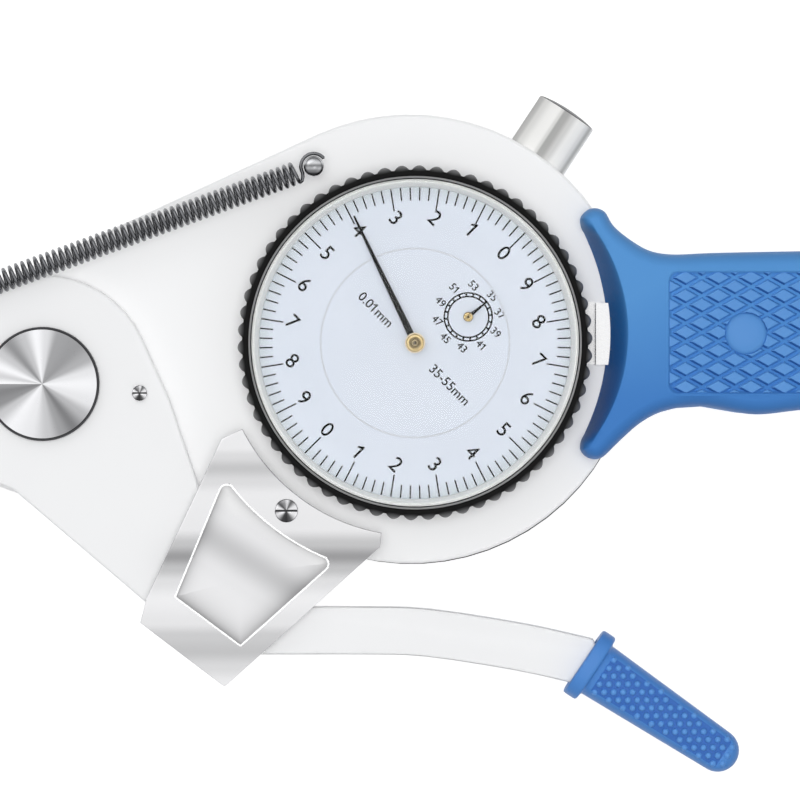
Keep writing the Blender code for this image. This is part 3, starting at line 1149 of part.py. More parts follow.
def make_guard():
    """Chrome guard on one foot beside the bezel, its face pressed in like a window."""
    inner = BEZEL_RADIUS + GUARD_GAP
    edge = arc(DIAL_CENTRE, inner, GUARD_START_DEGREES, GUARD_END_DEGREES, 14)
    corners = [(GUARD_LOW_X, GUARD_LOW_Y), (GUARD_RIGHT_X, GUARD_RIGHT_Y)] + edge
    corners += [(GUARD_TOP_X, GUARD_TOP_Y), (GUARD_STEP_X, GUARD_STEP_Y), (GUARD_LEFT_X, GUARD_LEFT_Y)]
    radii = [WINDOW_CORNER / 2, WINDOW_CORNER / 2] + [0.0] * len(edge) + [WINDOW_CORNER / 4, 0.0, 0.0]
    outline = rounded(corners, radii)
    top = GUARD_BOTTOM + GUARD_THICKNESS
    guard = plate("guard_cover", chamfered(outline, GUARD_BOTTOM, top, GUARD_CHAMFER), "chrome")
    foot_outline = (arc(DIAL_CENTRE, inner + CLEARANCE, FOOT_END_DEGREES, FOOT_START_DEGREES, 6)
                    + arc(DIAL_CENTRE, FOOT_RADIUS, FOOT_START_DEGREES, FOOT_END_DEGREES, 6))
    foot = plate("guard_cover.foot", [(foot_outline, ARM_BOTTOM), (foot_outline, GUARD_BOTTOM + GUARD_THICKNESS / 3)],
                 None)
    combine(guard, foot, "UNION")
    window_edge = arc(DIAL_CENTRE, WINDOW_RADIUS, WINDOW_START_DEGREES, WINDOW_END_DEGREES, 8)
    corners = window_edge + [(WINDOW_LEFT_X, WINDOW_LEFT_Y), (WINDOW_LOW_X, WINDOW_LOW_Y)]
    radii = [WINDOW_CORNER] + [0.0] * (len(window_edge) - 2) + [WINDOW_CORNER, WINDOW_CORNER / 4, WINDOW_CORNER / 4]
    window = rounded(corners, radii)
    tool = plate("guard_cover.window", [(grown(window, -GUARD_CHAMFER), top - WINDOW_DEPTH),
                                        (window, top), (window, top + OVERRUN)], None)
    combine(guard, tool, "DIFFERENCE")
    place = (GUARD_SCREW_X, GUARD_SCREW_Y)
    hole = GUARD_SCREW_SHANK + CLEARANCE
    bite = FRAME_TOP - GUARD_SCREW_BITE
    cut_holes(guard, [place], hole, ARM_BOTTOM - OVERRUN, top + OVERRUN, 10)
    cut_holes(bpy.data.objects["body_frame"], [place], hole, bite - CLEARANCE, FRAME_TOP + OVERRUN, 10)
    turned("guard_screw", pan_head(GUARD_SCREW_HEAD, SCREW_HEAD_HEIGHT, GUARD_SCREW_SHANK, top + CLEARANCE, bite),
           16, "polished_steel", place)


# Handle

CRESCENT_X = 0.0316
CRESCENT_RADIUS = 0.0372
CRESCENT_TOP_X = 0.0348
CRESCENT_TOP_RADIUS = 0.0290
CRESCENT_SPREAD_DEGREES = 28.0
HORN_X = 0.0294
HORN_Y = 0.0181
HORN_RADIUS = 0.00245
HANDLE_CROWN = 0.0018
TANG_THICKNESS = 0.0015
TANG_START_X = 0.0296
TANG_END_X = 0.0700
TANG_BOTTOM = FRAME_TOP + CLEARANCE
TANG_TOP = TANG_BOTTOM + TANG_THICKNESS
GRIP_UPPER_SHARES = [(0.948, 0.346), (0.818, 0.492), (0.584, 0.531), (0.308, 0.519), (0.184, 0.508), (0.124, 0.50),
                     (0.096, 0.523), (0.071, 0.585), (0.045, 0.681)]
GRIP_LOWER_SHARES = [(0.058, -0.658), (0.083, -0.562), (0.108, -0.50), (0.134, -0.469), (0.172, -0.458),
                     (0.223, -0.497), (0.250, -0.508), (0.308, -0.481), (0.370, -0.458), (0.440, -0.502),
                     (0.530, -0.470), (0.610, -0.502), (0.720, -0.462), (0.818, -0.490), (0.948, -0.346)]
PANEL_START_X = 0.0407
PANEL_END_SHARE = 0.87
PANEL_HIGH_SHARE = 0.39
PANEL_LOW_SHARE = -0.377
PANEL_DEPTH = 0.0007
PANEL_CORNER = 0.0015
GRIP_BOSS_RADIUS = 0.0034
GRIP_BOSS_HEIGHT = 0.0008
BOSS_FIRST_X = 0.0539
BOSS_SECOND_X = 0.1180
HANDLE_SCREW_RADIUS = 0.0014
HANDLE_SCREW_SEAT = 0.0040
HANDLE_SCREW_COVER = 0.0040
TANG_SCREW_HEAD = 0.0017
CRESCENT_PULL_SHARE = 0.10
END_SHARE = 0.16
CROWN_SHARES = ((0.0, 0.0), (0.45, 0.18), (0.82, 0.55), (1.0, 1.0))
BOTTOM_CHAMFER = 0.0010


def handle_outline(lift):
    """Crescent round the bezel and wavy grip; lift runs from 0 at the case to 1 at the crown."""
    span = HANDLE_END_X - CRESCENT_X + CRESCENT_RADIUS * (1 - math.cos(math.radians(CRESCENT_SPREAD_DEGREES)))
    left = HANDLE_END_X - span
    radius = CRESCENT_RADIUS + (CRESCENT_TOP_RADIUS - CRESCENT_RADIUS) * lift
    deepest = CRESCENT_X + (CRESCENT_TOP_X - CRESCENT_X) * lift
    centre = (deepest - radius, HANDLE_AXIS_Y)
    spread = math.degrees(math.asin(CRESCENT_RADIUS * math.sin(math.radians(CRESCENT_SPREAD_DEGREES)) / radius
                                    * (1 - CRESCENT_PULL_SHARE * lift)))
    hollow = arc(centre, radius, spread, -spread, 10)
    lower_horn = arc((HORN_X, HANDLE_AXIS_Y - HORN_Y), HORN_RADIUS, 200.0, 315.0, 4)
    upper_horn = arc((HORN_X, HANDLE_AXIS_Y + HORN_Y), HORN_RADIUS, 45.0, 160.0, 4)
    lower = scaled(GRIP_LOWER_SHARES, span, GRIP_WIDTH, (left, HANDLE_AXIS_Y))
    upper = scaled(GRIP_UPPER_SHARES, span, GRIP_WIDTH, (left, HANDLE_AXIS_Y))
    end = [(HANDLE_END_X, HANDLE_AXIS_Y - GRIP_WIDTH * END_SHARE), (HANDLE_END_X, HANDLE_AXIS_Y + GRIP_WIDTH * END_SHARE)]
    return hollow + lower_horn + lower + end + upper + upper_horn


def make_handle():
    front_bottom = FRAME_TOP + CLEARANCE
    sections = [(handle_outline(0.0), front_bottom)]
    rise = HANDLE_HEIGHT - HANDLE_CROWN - front_bottom
    for up, inset in CROWN_SHARES:
        level = front_bottom + rise + HANDLE_CROWN * up
        sections.append((grown(handle_outline((level - front_bottom) / (HANDLE_HEIGHT - front_bottom)),
                               -HANDLE_CROWN * inset / 2), level))
    front = plate("handle_front", sections, "handle_blue")
    high = HANDLE_AXIS_Y + GRIP_WIDTH * PANEL_HIGH_SHARE
    low = HANDLE_AXIS_Y + GRIP_WIDTH * PANEL_LOW_SHARE
    end = PANEL_START_X + (HANDLE_END_X - PANEL_START_X) * PANEL_END_SHARE
    panel = rounded([(PANEL_START_X, low), (end, low), (end, high), (PANEL_START_X, high)], [PANEL_CORNER] * 4, 3)
    cut_plate(front, panel, HANDLE_HEIGHT - PANEL_DEPTH, HANDLE_HEIGHT + OVERRUN)
    half = TANG_WIDTH / 2 + CLEARANCE
    screw_room = TANG_TOP + 2 * CLEARANCE + SCREW_HEAD_HEIGHT
    slot = [(TANG_START_X - OVERRUN, HANDLE_AXIS_Y - half), (TANG_END_X + CLEARANCE, HANDLE_AXIS_Y - half),
            (TANG_END_X + CLEARANCE, HANDLE_AXIS_Y + half), (TANG_START_X - OVERRUN, HANDLE_AXIS_Y + half)]
    cut_plate(front, slot, front_bottom - OVERRUN, screw_room)

    # Rear half, hollowed where it meets the round case
    clear = HEAD_RADIUS + 3 * CLEARANCE
    spread = math.degrees(math.asin((GRIP_WIDTH / 2) / clear))
    nest = arc(HEAD_CENTRE, clear, spread, -spread, 10)
    span = HANDLE_END_X - CRESCENT_X + CRESCENT_RADIUS * (1 - math.cos(math.radians(CRESCENT_SPREAD_DEGREES)))
    left = HANDLE_END_X - span
    lower = [p for p in scaled(GRIP_LOWER_SHARES, span, GRIP_WIDTH, (left, HANDLE_AXIS_Y)) if p[0] > clear]
    upper = [p for p in scaled(GRIP_UPPER_SHARES, span, GRIP_WIDTH, (left, HANDLE_AXIS_Y)) if p[0] > clear]
    tail_end = [(HANDLE_END_X, HANDLE_AXIS_Y - GRIP_WIDTH * END_SHARE),
                (HANDLE_END_X, HANDLE_AXIS_Y + GRIP_WIDTH * END_SHARE)]
    outline = nest + lower + tail_end + upper
    back = plate("handle_back", [(grown(outline, -BOTTOM_CHAMFER), 0.0), (outline, BOTTOM_CHAMFER * 2),
                                 (outline, FRAME_TOP)], "handle_blue")
    bosses = [(BOSS_FIRST_X, HANDLE_AXIS_Y), (BOSS_SECOND_X, HANDLE_AXIS_Y)]
    floor = HANDLE_HEIGHT - PANEL_DEPTH
    for number, boss in enumerate(bosses):
        dome = turned(f"handle_front.boss{number}", [
            (0.0, floor - GRIP_BOSS_HEIGHT), (GRIP_BOSS_RADIUS, floor - GRIP_BOSS_HEIGHT), (GRIP_BOSS_RADIUS, floor + GRIP_BOSS_HEIGHT / 2),
            (GRIP_BOSS_RADIUS * HEAD_CROWN_SHARE, floor + GRIP_BOSS_HEIGHT), (0.0, floor + GRIP_BOSS_HEIGHT)], 20, None, boss)
        combine(front, dome, "UNION")
    shank = HANDLE_SCREW_RADIUS
    bore = shank + CLEARANCE
    head_top = HANDLE_SCREW_SEAT - CLEARANCE
    screw_end = HANDLE_HEIGHT - HANDLE_SCREW_COVER
    cut_holes(front, bosses, bore, front_bottom - OVERRUN, screw_end + CLEARANCE, 10)
    cut_holes(back, bosses, bore, -OVERRUN, FRAME_TOP + OVERRUN, 10)
    cut_holes(back, bosses, 2 * shank + CLEARANCE, -OVERRUN, HANDLE_SCREW_SEAT, 12)
    turned_each("handle_screw", [(0.0, head_top - SCREW_HEAD_HEIGHT), (2 * shank, head_top - SCREW_HEAD_HEIGHT),
                                 (2 * shank, head_top), (shank, head_top), (shank, screw_end), (0.0, screw_end)],
                10, "polished_steel", bosses)

    # Steel tang that joins the case to the handle
    half = TANG_WIDTH / 2
    tang_outline = [(TANG_START_X, HANDLE_AXIS_Y - half), (TANG_END_X, HANDLE_AXIS_Y - half),
                    (TANG_END_X, HANDLE_AXIS_Y + half), (TANG_START_X, HANDLE_AXIS_Y + half)]
    tang = plate("handle_tang", [(tang_outline, TANG_BOTTOM), (tang_outline, TANG_TOP)], "polished_steel")
    cut_holes(tang, bosses[:1], bore, TANG_BOTTOM - OVERRUN, TANG_TOP + OVERRUN, 10)
    places = [(HEAD_RADIUS - 2 * CASE_SCREW_RADIUS + TANG_SCREW_HEAD / 2, HANDLE_AXIS_Y + TANG_WIDTH * share)
              for share in (-1 / 4, 1 / 4)]
    hole = SCREW_SHANK_RADIUS + CLEARANCE
    depth = FRAME_TOP - BLOCK_SCREW_DEPTH
    cut_holes(tang, places, hole, TANG_BOTTOM - OVERRUN, TANG_TOP + OVERRUN, 8)
    cut_holes(bpy.data.objects["body_frame"], places, hole, depth - CLEARANCE, FRAME_TOP + OVERRUN, 8)
    screws("tang_screw", places, TANG_TOP + CLEARANCE, depth, TANG_SCREW_HEAD, SCREW_SHANK_RADIUS,
           SCREW_HEAD_HEIGHT)


make_case()
make_spindle()
make_movement()
make_train()
make_dial()
make_lever()
anchor = (ANCHOR_X, ANCHOR_Y)
anchor_post("spring_screw", anchor, FRAME_TOP - STOP_SLOT_DEPTH)
cut_holes(bpy.data.objects["body_frame"], [anchor], ANCHOR_NECK_RADIUS + CLEARANCE,
          FRAME_TOP - STOP_SLOT_DEPTH - CLEARANCE, FRAME_TOP + OVERRUN, 10)
make_spring()
make_guard()
make_handle()
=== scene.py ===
import math

import bmesh
import bpy
import numpy as np
from mathutils import Matrix, Vector
from mathutils.geometry import delaunay_2d_cdt


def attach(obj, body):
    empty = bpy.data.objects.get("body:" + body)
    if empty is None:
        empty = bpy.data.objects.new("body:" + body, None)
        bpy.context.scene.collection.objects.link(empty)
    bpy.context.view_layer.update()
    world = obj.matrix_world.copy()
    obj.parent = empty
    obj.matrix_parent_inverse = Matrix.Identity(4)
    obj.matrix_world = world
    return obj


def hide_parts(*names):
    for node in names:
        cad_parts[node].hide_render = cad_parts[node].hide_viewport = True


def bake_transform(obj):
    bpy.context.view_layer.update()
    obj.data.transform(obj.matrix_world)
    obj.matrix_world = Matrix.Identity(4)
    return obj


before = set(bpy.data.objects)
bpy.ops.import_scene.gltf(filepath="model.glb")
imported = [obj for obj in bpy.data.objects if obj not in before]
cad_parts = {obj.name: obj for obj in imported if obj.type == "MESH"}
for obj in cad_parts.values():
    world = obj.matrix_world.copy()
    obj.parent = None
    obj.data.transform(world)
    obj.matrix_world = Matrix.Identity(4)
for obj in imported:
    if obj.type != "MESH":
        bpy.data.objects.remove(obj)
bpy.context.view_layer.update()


# Table, lamps and camera
# The caliper lies on its back on a white studio table. A soft lamp stands up to the left, a weaker
# one down to the right, and a bright one hangs over it. A long lens looks straight down.

MM = 0.001
VIEW_CENTRE = (-2.46 * MM, -9.34 * MM)
CAMERA_HEIGHT = 1.1074

camera_data = bpy.data.cameras.new("overhead_camera")
camera_data.lens = 300.0
camera_data.sensor_width = 36.0
camera_data.clip_end = 20.0
camera = bpy.data.objects.new("overhead_camera", camera_data)
camera.location = (*VIEW_CENTRE, CAMERA_HEIGHT)
bpy.context.collection.objects.link(camera)
bpy.context.scene.camera = camera
bpy.context.scene.view_settings.view_transform = "Standard"


def soft_lamp(name, place, size, watts):
    """Round diffused lamp aimed at the middle of the table."""
    lamp = bpy.data.lights.new(name, "AREA")
    lamp.shape = "DISK"
    lamp.size = size
    lamp.energy = watts
    holder = bpy.data.objects.new(name, lamp)
    holder.location = place
    holder.rotation_euler = (-Vector(place)).to_track_quat("-Z", "Y").to_euler()
    bpy.context.collection.objects.link(holder)


soft_lamp("key_lamp", (-0.40, 0.55, 0.95), 1.00, 1.5)
soft_lamp("fill_lamp", (0.70, -0.55, 0.90), 1.00, 0.7)
soft_lamp("top_lamp", (0.0, 0.0, 1.25), 0.60, 7.4)
bpy.data.objects["top_lamp"].visible_glossy = False


def feed(tree, node, values):
    """Gives a node's inputs, by name or number, their constants or links."""
    for socket, value in values.items():
        if isinstance(value, bpy.types.NodeSocket):
            tree.links.new(value, node.inputs[socket])
        else:
            node.inputs[socket].default_value = value


def added(tree, kind, values=(), **settings):
    """New node with its settings, fed with constants and links."""
    node = tree.nodes.new(kind)
    for setting, value in settings.items():
        setattr(node, setting, value)
    feed(tree, node, dict(values))
    return node


def worked_out(tree, operation, first, second):
    """Result of arithmetic on two values or sockets."""
    return added(tree, "ShaderNodeMath", {0: first, 1: second}, operation=operation).outputs[0]


def seen_directly(tree):
    """Light path, and 1 where a ray comes from the camera, a reflection or through glass, else 0."""
    path = tree.nodes.new("ShaderNodeLightPath")
    outside = worked_out(tree, "MAXIMUM", path.outputs["Is Camera Ray"], path.outputs["Is Glossy Ray"])
    return path, worked_out(tree, "MAXIMUM", outside, path.outputs["Is Transmission Ray"])


def make_room():
    """White room: plain light on the object, and a sky that greys towards the horizon in gloss."""
    world = bpy.data.worlds.new("white_room")
    world.use_nodes = True
    tree = world.node_tree
    tree.nodes.clear()
    path, direct = seen_directly(tree)
    toward = tree.nodes.new("ShaderNodeTexCoord")
    split = added(tree, "ShaderNodeSeparateXYZ", {0: toward.outputs["Generated"]})
    sky = added(tree, "ShaderNodeValToRGB", {"Fac": split.outputs["Z"]})
    sky.color_ramp.interpolation = "EASE"
    for position, grey in ((0.0, 0.16), (0.18, 0.30), (0.42, 0.62), (0.70, 0.98)):
        stop = sky.color_ramp.elements.new(position)
        stop.color = (grey, grey, grey * 1.01, 1.0)
    sky.color_ramp.elements.remove(sky.color_ramp.elements[0])
    sky.color_ramp.elements[-1].color = (1.0, 1.0, 1.0, 1.0)
    plain = added(tree, "ShaderNodeBackground", {"Color": (0.96, 0.98, 1.0, 1.0), "Strength": 0.38})
    glossy = added(tree, "ShaderNodeBackground", {"Color": sky.outputs["Color"]})
    white = added(tree, "ShaderNodeBackground", {"Color": (1.0, 1.0, 1.0, 1.0)})
    lit = added(tree, "ShaderNodeMixShader", {"Fac": direct, 1: plain.outputs[0], 2: glossy.outputs[0]})
    seen = added(tree, "ShaderNodeMixShader",
                 {"Fac": path.outputs["Is Camera Ray"], 1: lit.outputs[0], 2: white.outputs[0]})
    added(tree, "ShaderNodeOutputWorld", {"Surface": seen.outputs[0]})
    bpy.context.scene.world = world


make_room()


def make_table():
    """White table top that still takes the object's soft shadow."""
    reach, gap = 6.0, 0.05 * MM
    grey, glow_level = 0.46, 0.80
    mesh = bpy.data.meshes.new("table_top")
    mesh.from_pydata([(-reach, -reach, 0.0), (reach, -reach, 0.0), (reach, reach, 0.0), (-reach, reach, 0.0)],
                     [], [(0, 1, 2, 3)])
    table = bpy.data.objects.new("table_top", mesh)
    table.location.z = -gap
    bpy.context.collection.objects.link(table)
    material = bpy.data.materials.new("white_table")
    material.use_nodes = True
    tree = material.node_tree
    tree.nodes.clear()
    surface = added(tree, "ShaderNodeBsdfDiffuse", {"Color": (grey, grey, grey, 1.0)})
    level = worked_out(tree, "MULTIPLY", seen_directly(tree)[1], glow_level)
    glow = added(tree, "ShaderNodeEmission", {"Strength": level})
    both = added(tree, "ShaderNodeAddShader", {0: surface.outputs[0], 1: glow.outputs[0]})
    added(tree, "ShaderNodeOutputMaterial", {"Surface": both.outputs[0]})
    mesh.materials.append(material)


make_table()


# Back plate
# A thin steel plate, stamped and enamelled black, closes the back of the case.
# Four small countersunk screws hold it, and the caliper lies on it.


def chip(red, green, blue):
    """Linear colour of a paint chip given in ordinary screen values."""
    def linear(value):
        value /= 255
        return value / 12.92 if value <= 0.04045 else ((value + 0.055) / 1.055) ** 2.4
    return (linear(red), linear(green), linear(blue), 1.0)


def make_surface_character():
    """Shared unevenness of a finished surface: broad patches and fine grain, brushed one way or not."""
    group = bpy.data.node_groups.new("surface_character", "ShaderNodeTree")
    sockets = group.interface
    brush = sockets.new_socket("Brush", in_out="INPUT", socket_type="NodeSocketVector")
    brush.default_value = (1.0, 1.0, 1.0)
    for name, side in (("Patch Scale", "INPUT"), ("Grain Scale", "INPUT"), ("Patches", "OUTPUT"), ("Grain", "OUTPUT")):
        sockets.new_socket(name, in_out=side, socket_type="NodeSocketFloat")
    given = group.nodes.new("NodeGroupInput").outputs
    place = group.nodes.new("ShaderNodeTexCoord").outputs["Object"]
    brushed = added(group, "ShaderNodeVectorMath", {0: place, 1: given["Brush"]}, operation="MULTIPLY").outputs[0]
    patches = added(group, "ShaderNodeTexNoise", {"Vector": place, "Scale": given["Patch Scale"], "Detail": 3.0})
    grain = added(group, "ShaderNodeTexNoise", {"Vector": brushed, "Scale": given["Grain Scale"], "Detail": 2.0})
    added(group, "NodeGroupOutput", {"Patches": patches.outputs["Fac"], "Grain": grain.outputs["Fac"]})
    return group


surface_character = make_surface_character()
GRAIN_DEPTH = 0.02 * MM


def finish(name, light, dark, roughness, spread, metallic=0.0, bump=0.12, patch=60.0, grain=2200.0,
           brush=(1.0, 1.0, 1.0), coat=0.0, specular=0.5, glow=0.0):
    """Painted, moulded or machined finish: two close tones in patches, and grain in gloss and height. Glow makes the
    surface give off light of its own colour, which is painted light.
    """
    light, dark = chip(*light), chip(*dark)
    material = bpy.data.materials.new(name)
    material.use_nodes = True
    tree = material.node_tree
    surface = added(tree, "ShaderNodeGroup", {"Brush": brush, "Patch Scale": patch, "Grain Scale": grain},
                    node_tree=surface_character).outputs
    tone = added(tree, "ShaderNodeMix", {0: surface["Patches"], 6: light, 7: dark}, data_type="RGBA", name="tone")
    gloss = added(tree, "ShaderNodeMapRange", {"Value": surface["Grain"], "To Min": max(roughness - spread, 0.02),
                                               "To Max": roughness + spread})
    height = added(tree, "ShaderNodeBump", {"Height": surface["Grain"], "Strength": bump, "Distance": GRAIN_DEPTH})
    feed(tree, tree.nodes["Principled BSDF"],
         {"Base Color": tone.outputs[2], "Roughness": gloss.outputs[0], "Normal": height.outputs["Normal"],
          "Metallic": metallic, "Coat Weight": coat, "Specular IOR Level": specular, "Emission Color": light,
          "Emission Strength": glow})
    return material


def applied(piece):
    """Turns a piece's modifiers into plain mesh."""
    graph = bpy.context.evaluated_depsgraph_get()
    mesh = bpy.data.meshes.new_from_object(piece.evaluated_get(graph), preserve_all_data_layers=True,
                                           depsgraph=graph)
    piece.modifiers.clear()
    piece.data = mesh
    return piece


def new_piece(name, shell, *materials):
    """Object of a bmesh, at the origin, with its finishes."""
    mesh = bpy.data.meshes.new(name)
    shell.to_mesh(mesh)
    shell.free()
    piece = bpy.data.objects.new(name, mesh)
    bpy.context.collection.objects.link(piece)
    for material in materials:
        mesh.materials.append(material)
    return piece


def break_edges(piece, width, angle=32.0, segments=2):
    """Small round on every hard edge, with clean reflections on the flats."""
    piece.data.shade_smooth()
    if width:
        bevel = piece.modifiers.new("edge_round", "BEVEL")
        bevel.width = width
        bevel.segments = segments
        bevel.limit_method = "ANGLE"
        bevel.angle_limit = math.radians(angle)
        bevel.use_clamp_overlap = False
    flats = piece.modifiers.new("even_flats", "WEIGHTED_NORMAL")
    flats.keep_sharp = False
    return applied(piece)


def fit(piece, body, slot, *nodes):
    """Hangs a piece on its CAD body, in place of the CAD nodes it stands for."""
    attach(piece, body)
    if nodes:
        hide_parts(*nodes)
    return piece


WELD_GAP = 0.002 * MM
FLAT_ANGLE = math.radians(0.6)


def finer(node_name, edge, material, body, slot, angle=32.0):
    """Copy of a CAD solid with its edges broken, in its finish."""
    shell = bmesh.new()
    shell.from_mesh(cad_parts[node_name].data)
    bmesh.ops.remove_doubles(shell, verts=shell.verts, dist=WELD_GAP)
    bmesh.ops.dissolve_limit(shell, angle_limit=FLAT_ANGLE, verts=shell.verts, edges=shell.edges)
    piece = new_piece(node_name + "_finished", shell, material)
    return fit(break_edges(piece, edge, angle), body, slot, node_name)


def dress(material, *node_names):
    """Gives CAD nodes that keep their shape their finish."""
    for name in node_names:
        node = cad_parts[name]
        if node.material_slots:
            for place in node.material_slots:
                place.material = material
        else:
            node.data.materials.append(material)


black_enamel = finish("black_enamel", (26, 26, 28), (14, 14, 16), 0.34, 0.08, bump=0.25, grain=1500.0)
zinc_screw = finish("zinc_screw", (176, 178, 182), (140, 142, 148), 0.30, 0.10, metallic=1.0, bump=0.1)
finer("back_cover", 0.04 * MM, black_enamel, "body", "black_enamel")
dress(zinc_screw, "back_cover_screw_1", "back_cover_screw_2", "back_cover_screw_3", "back_cover_screw_4")


# Case
# A cast and milled aluminium body, a round head with a neck that ends round the pivot.
# It is sprayed with satin white enamel, so its edges are slightly soft.

# The glow is painted light: the enamel gives off light of its own, which lifts the shade near the bezel and evens the
# white.
white_enamel = finish("white_enamel", (230, 230, 230), (227, 227, 228), 0.42, 0.06, bump=0.10, grain=900.0,
                      patch=25.0, coat=0.15, specular=0.3, glow=0.24)
finer("body_frame", 0.15 * MM, white_enamel, "body", "white_enamel")


# Spindle
# A hardened steel rod slides in two brass bushes across the head. The moving arm pushes its
# rounded lower end, a rack is screwed to its side, and a chrome cap keeps dust from the upper end.

ground_steel = finish("ground_steel", (205, 207, 210), (178, 181, 186), 0.24, 0.08, metallic=1.0,
                      grain=3000.0, brush=(1.0, 1.0, 6.0))
turned_brass = finish("turned_brass", (205, 172, 104), (178, 142, 78), 0.28, 0.08, metallic=1.0,
                      grain=2600.0, brush=(1.0, 1.0, 5.0))
dress(ground_steel, "spindle", "spindle_rack", "contact_point")
dress(turned_brass, "upper_spindle_bush", "lower_spindle_bush")


def multiplied(tree, first, second):
    """Mix node that multiplies two colours."""
    return added(tree, "ShaderNodeMix", {0: 1.0, 6: first, 7: second}, data_type="RGBA", blend_type="MULTIPLY")


def bands(material, kind, place, turn, span, stops):
    """Lays soft bands of painted reflections and glints over a finish: LINEAR along its turned X, RADIAL round a
    centre.
    """
    tree = material.node_tree
    tone = tree.nodes["tone"]
    target = tone.outputs[2].links[0].to_socket
    coordinates = tree.nodes.new("ShaderNodeTexCoord")
    placed = added(tree, "ShaderNodeMapping",
                   {"Vector": coordinates.outputs["Object"], "Location": place,
                    "Rotation": (0.0, 0.0, math.radians(turn)), "Scale": (span, span, span)}, vector_type="TEXTURE")
    run = added(tree, "ShaderNodeTexGradient", {"Vector": placed.outputs[0]}, gradient_type=kind)
    ramp = added(tree, "ShaderNodeValToRGB", {"Fac": run.outputs["Fac"]})
    ramp.color_ramp.interpolation = "EASE"
    for position, grey in stops:
        stop = ramp.color_ramp.elements.new(position)
        stop.color = chip(grey, grey, min(grey + 1, 255))
    ramp.color_ramp.elements.remove(ramp.color_ramp.elements[0])
    ramp.color_ramp.elements.remove(ramp.color_ramp.elements[-1])
    both = multiplied(tree, tone.outputs[2], ramp.outputs["Color"])
    tone.name = "plain_tone"
    both.name = "tone"
    tree.links.new(both.outputs[2], target)
    return material


def turned(name, profile, sides, *materials, centre=(0.0, 0.0), closed=False):
    """Lathe work: (radius, height) points spun round a vertical axis, all in metres."""
    shell = bmesh.new()
    rows = []
    for radius, height in profile:
        if radius == 0.0:
            rows.append([shell.verts.new((centre[0], centre[1], height))] * sides)
            continue
        rows.append([shell.verts.new((centre[0] + radius * math.cos(2 * math.pi * i / sides),
                                      centre[1] + radius * math.sin(2 * math.pi * i / sides), height))
                     for i in range(sides)])
    pairs = list(zip(rows, rows[1:]))
    if closed:
        pairs.append((rows[-1], rows[0]))
    for low, high in pairs:
        for i in range(sides):
            corners = [low[i - 1], low[i], high[i], high[i - 1]]
            corners = [c for k, c in enumerate(corners) if c not in corners[:k]]
            if len(corners) > 2:
                shell.faces.new(corners)
    bmesh.ops.recalc_face_normals(shell, faces=shell.faces)
    return new_piece(name, shell, *materials)


def in_mm(*pairs):
    """Profile written in millimetres, in metres."""
    return [(a * MM, b * MM) for a, b in pairs]


SPINDLE_WAY = Vector((0.550, 0.835, 0.0))
SPINDLE_SIDE = Vector((-0.835, 0.550, 0.0))
SPINDLE_HEIGHT = 5.8 * MM
CAP_TURN = -33.4
CAP_RADIUS = 5.2 * MM
CAP_MIDDLE = 41.94 * MM
CAP_END = 45.5 * MM
# Painted reflections: the light and dark bands along the cap are painted into the chrome's colour, and its glow is
# painted light.
chrome = finish("cap_chrome", (252, 251, 247), (244, 243, 240), 0.34, 0.05, bump=0.04, specular=0.15,
                glow=0.10)
bands(chrome, "LINEAR", SPINDLE_WAY * CAP_MIDDLE + SPINDLE_SIDE * CAP_RADIUS, CAP_TURN, 2 * CAP_RADIUS,
      ((0.0, 150), (0.05, 190), (0.12, 226), (0.26, 244), (0.37, 244), (0.43, 214), (0.47, 156), (0.53, 160),
       (0.63, 206), (0.74, 246), (0.83, 250), (0.89, 234), (0.95, 180), (1.0, 140)))
cap_profile = in_mm((3.9, 36.4), (5.20, 36.4), (5.20, 45.35), (5.17, 45.55), (5.05, 45.66), (4.6, 45.80),
                    (3.2, 46.04), (1.6, 46.18), (0.0, 46.22), (0.0, 45.2), (3.9, 45.2), (3.9, 36.4))
dust_cap = turned("dust_cap_finished", cap_profile, 96, chrome)
dust_cap.data.transform(Matrix.Translation((0.0, 0.0, SPINDLE_HEIGHT))
                        @ SPINDLE_WAY.to_track_quat("Z", "Y").to_matrix().to_4x4())
# The cap's rounded end is painted dark grey as painted shade.
dust_cap.data.materials.append(finish("cap_end_painted_shade", (84, 84, 86), (74, 74, 76), 0.4, 0.05, bump=0.04))
for face in dust_cap.data.polygons:
    face.material_index = int(face.center.dot(SPINDLE_WAY) > CAP_END)
fit(break_edges(dust_cap, 0.0), "body", "chrome", "dust_cap")


# Movement
# A brass plate and bridge carry three arbors. The rack turns the drive wheel, which turns the
# centre arbor with the long hand, and that turns the counter wheel with the short hand.

lacquered_brass = finish("lacquered_brass", (201, 170, 106), (186, 152, 88), 0.36, 0.07, metallic=1.0,
                         grain=1800.0, brush=(6.0, 1.0, 1.0))
wheel_brass = finish("wheel_brass", (214, 182, 112), (196, 160, 92), 0.30, 0.06, metallic=1.0)
arbor_steel = finish("arbor_steel", (190, 192, 198), (165, 168, 175), 0.22, 0.06, metallic=1.0)
dress(lacquered_brass, "movement_plate", "movement_bridge")
dress(wheel_brass, "drive_wheel", "counter_wheel")
dress(arbor_steel, "centre_arbor")


# Dial
# A printed metal dial in two pieces: the outer ring turns with the bezel to set zero, and the
# centre with the small counter scale stays. Ticks and plain numerals are printed in dark ink.

RING_TOP = 15.3 * MM
CENTRE_TOP = 15.1 * MM
INK = 0.015 * MM


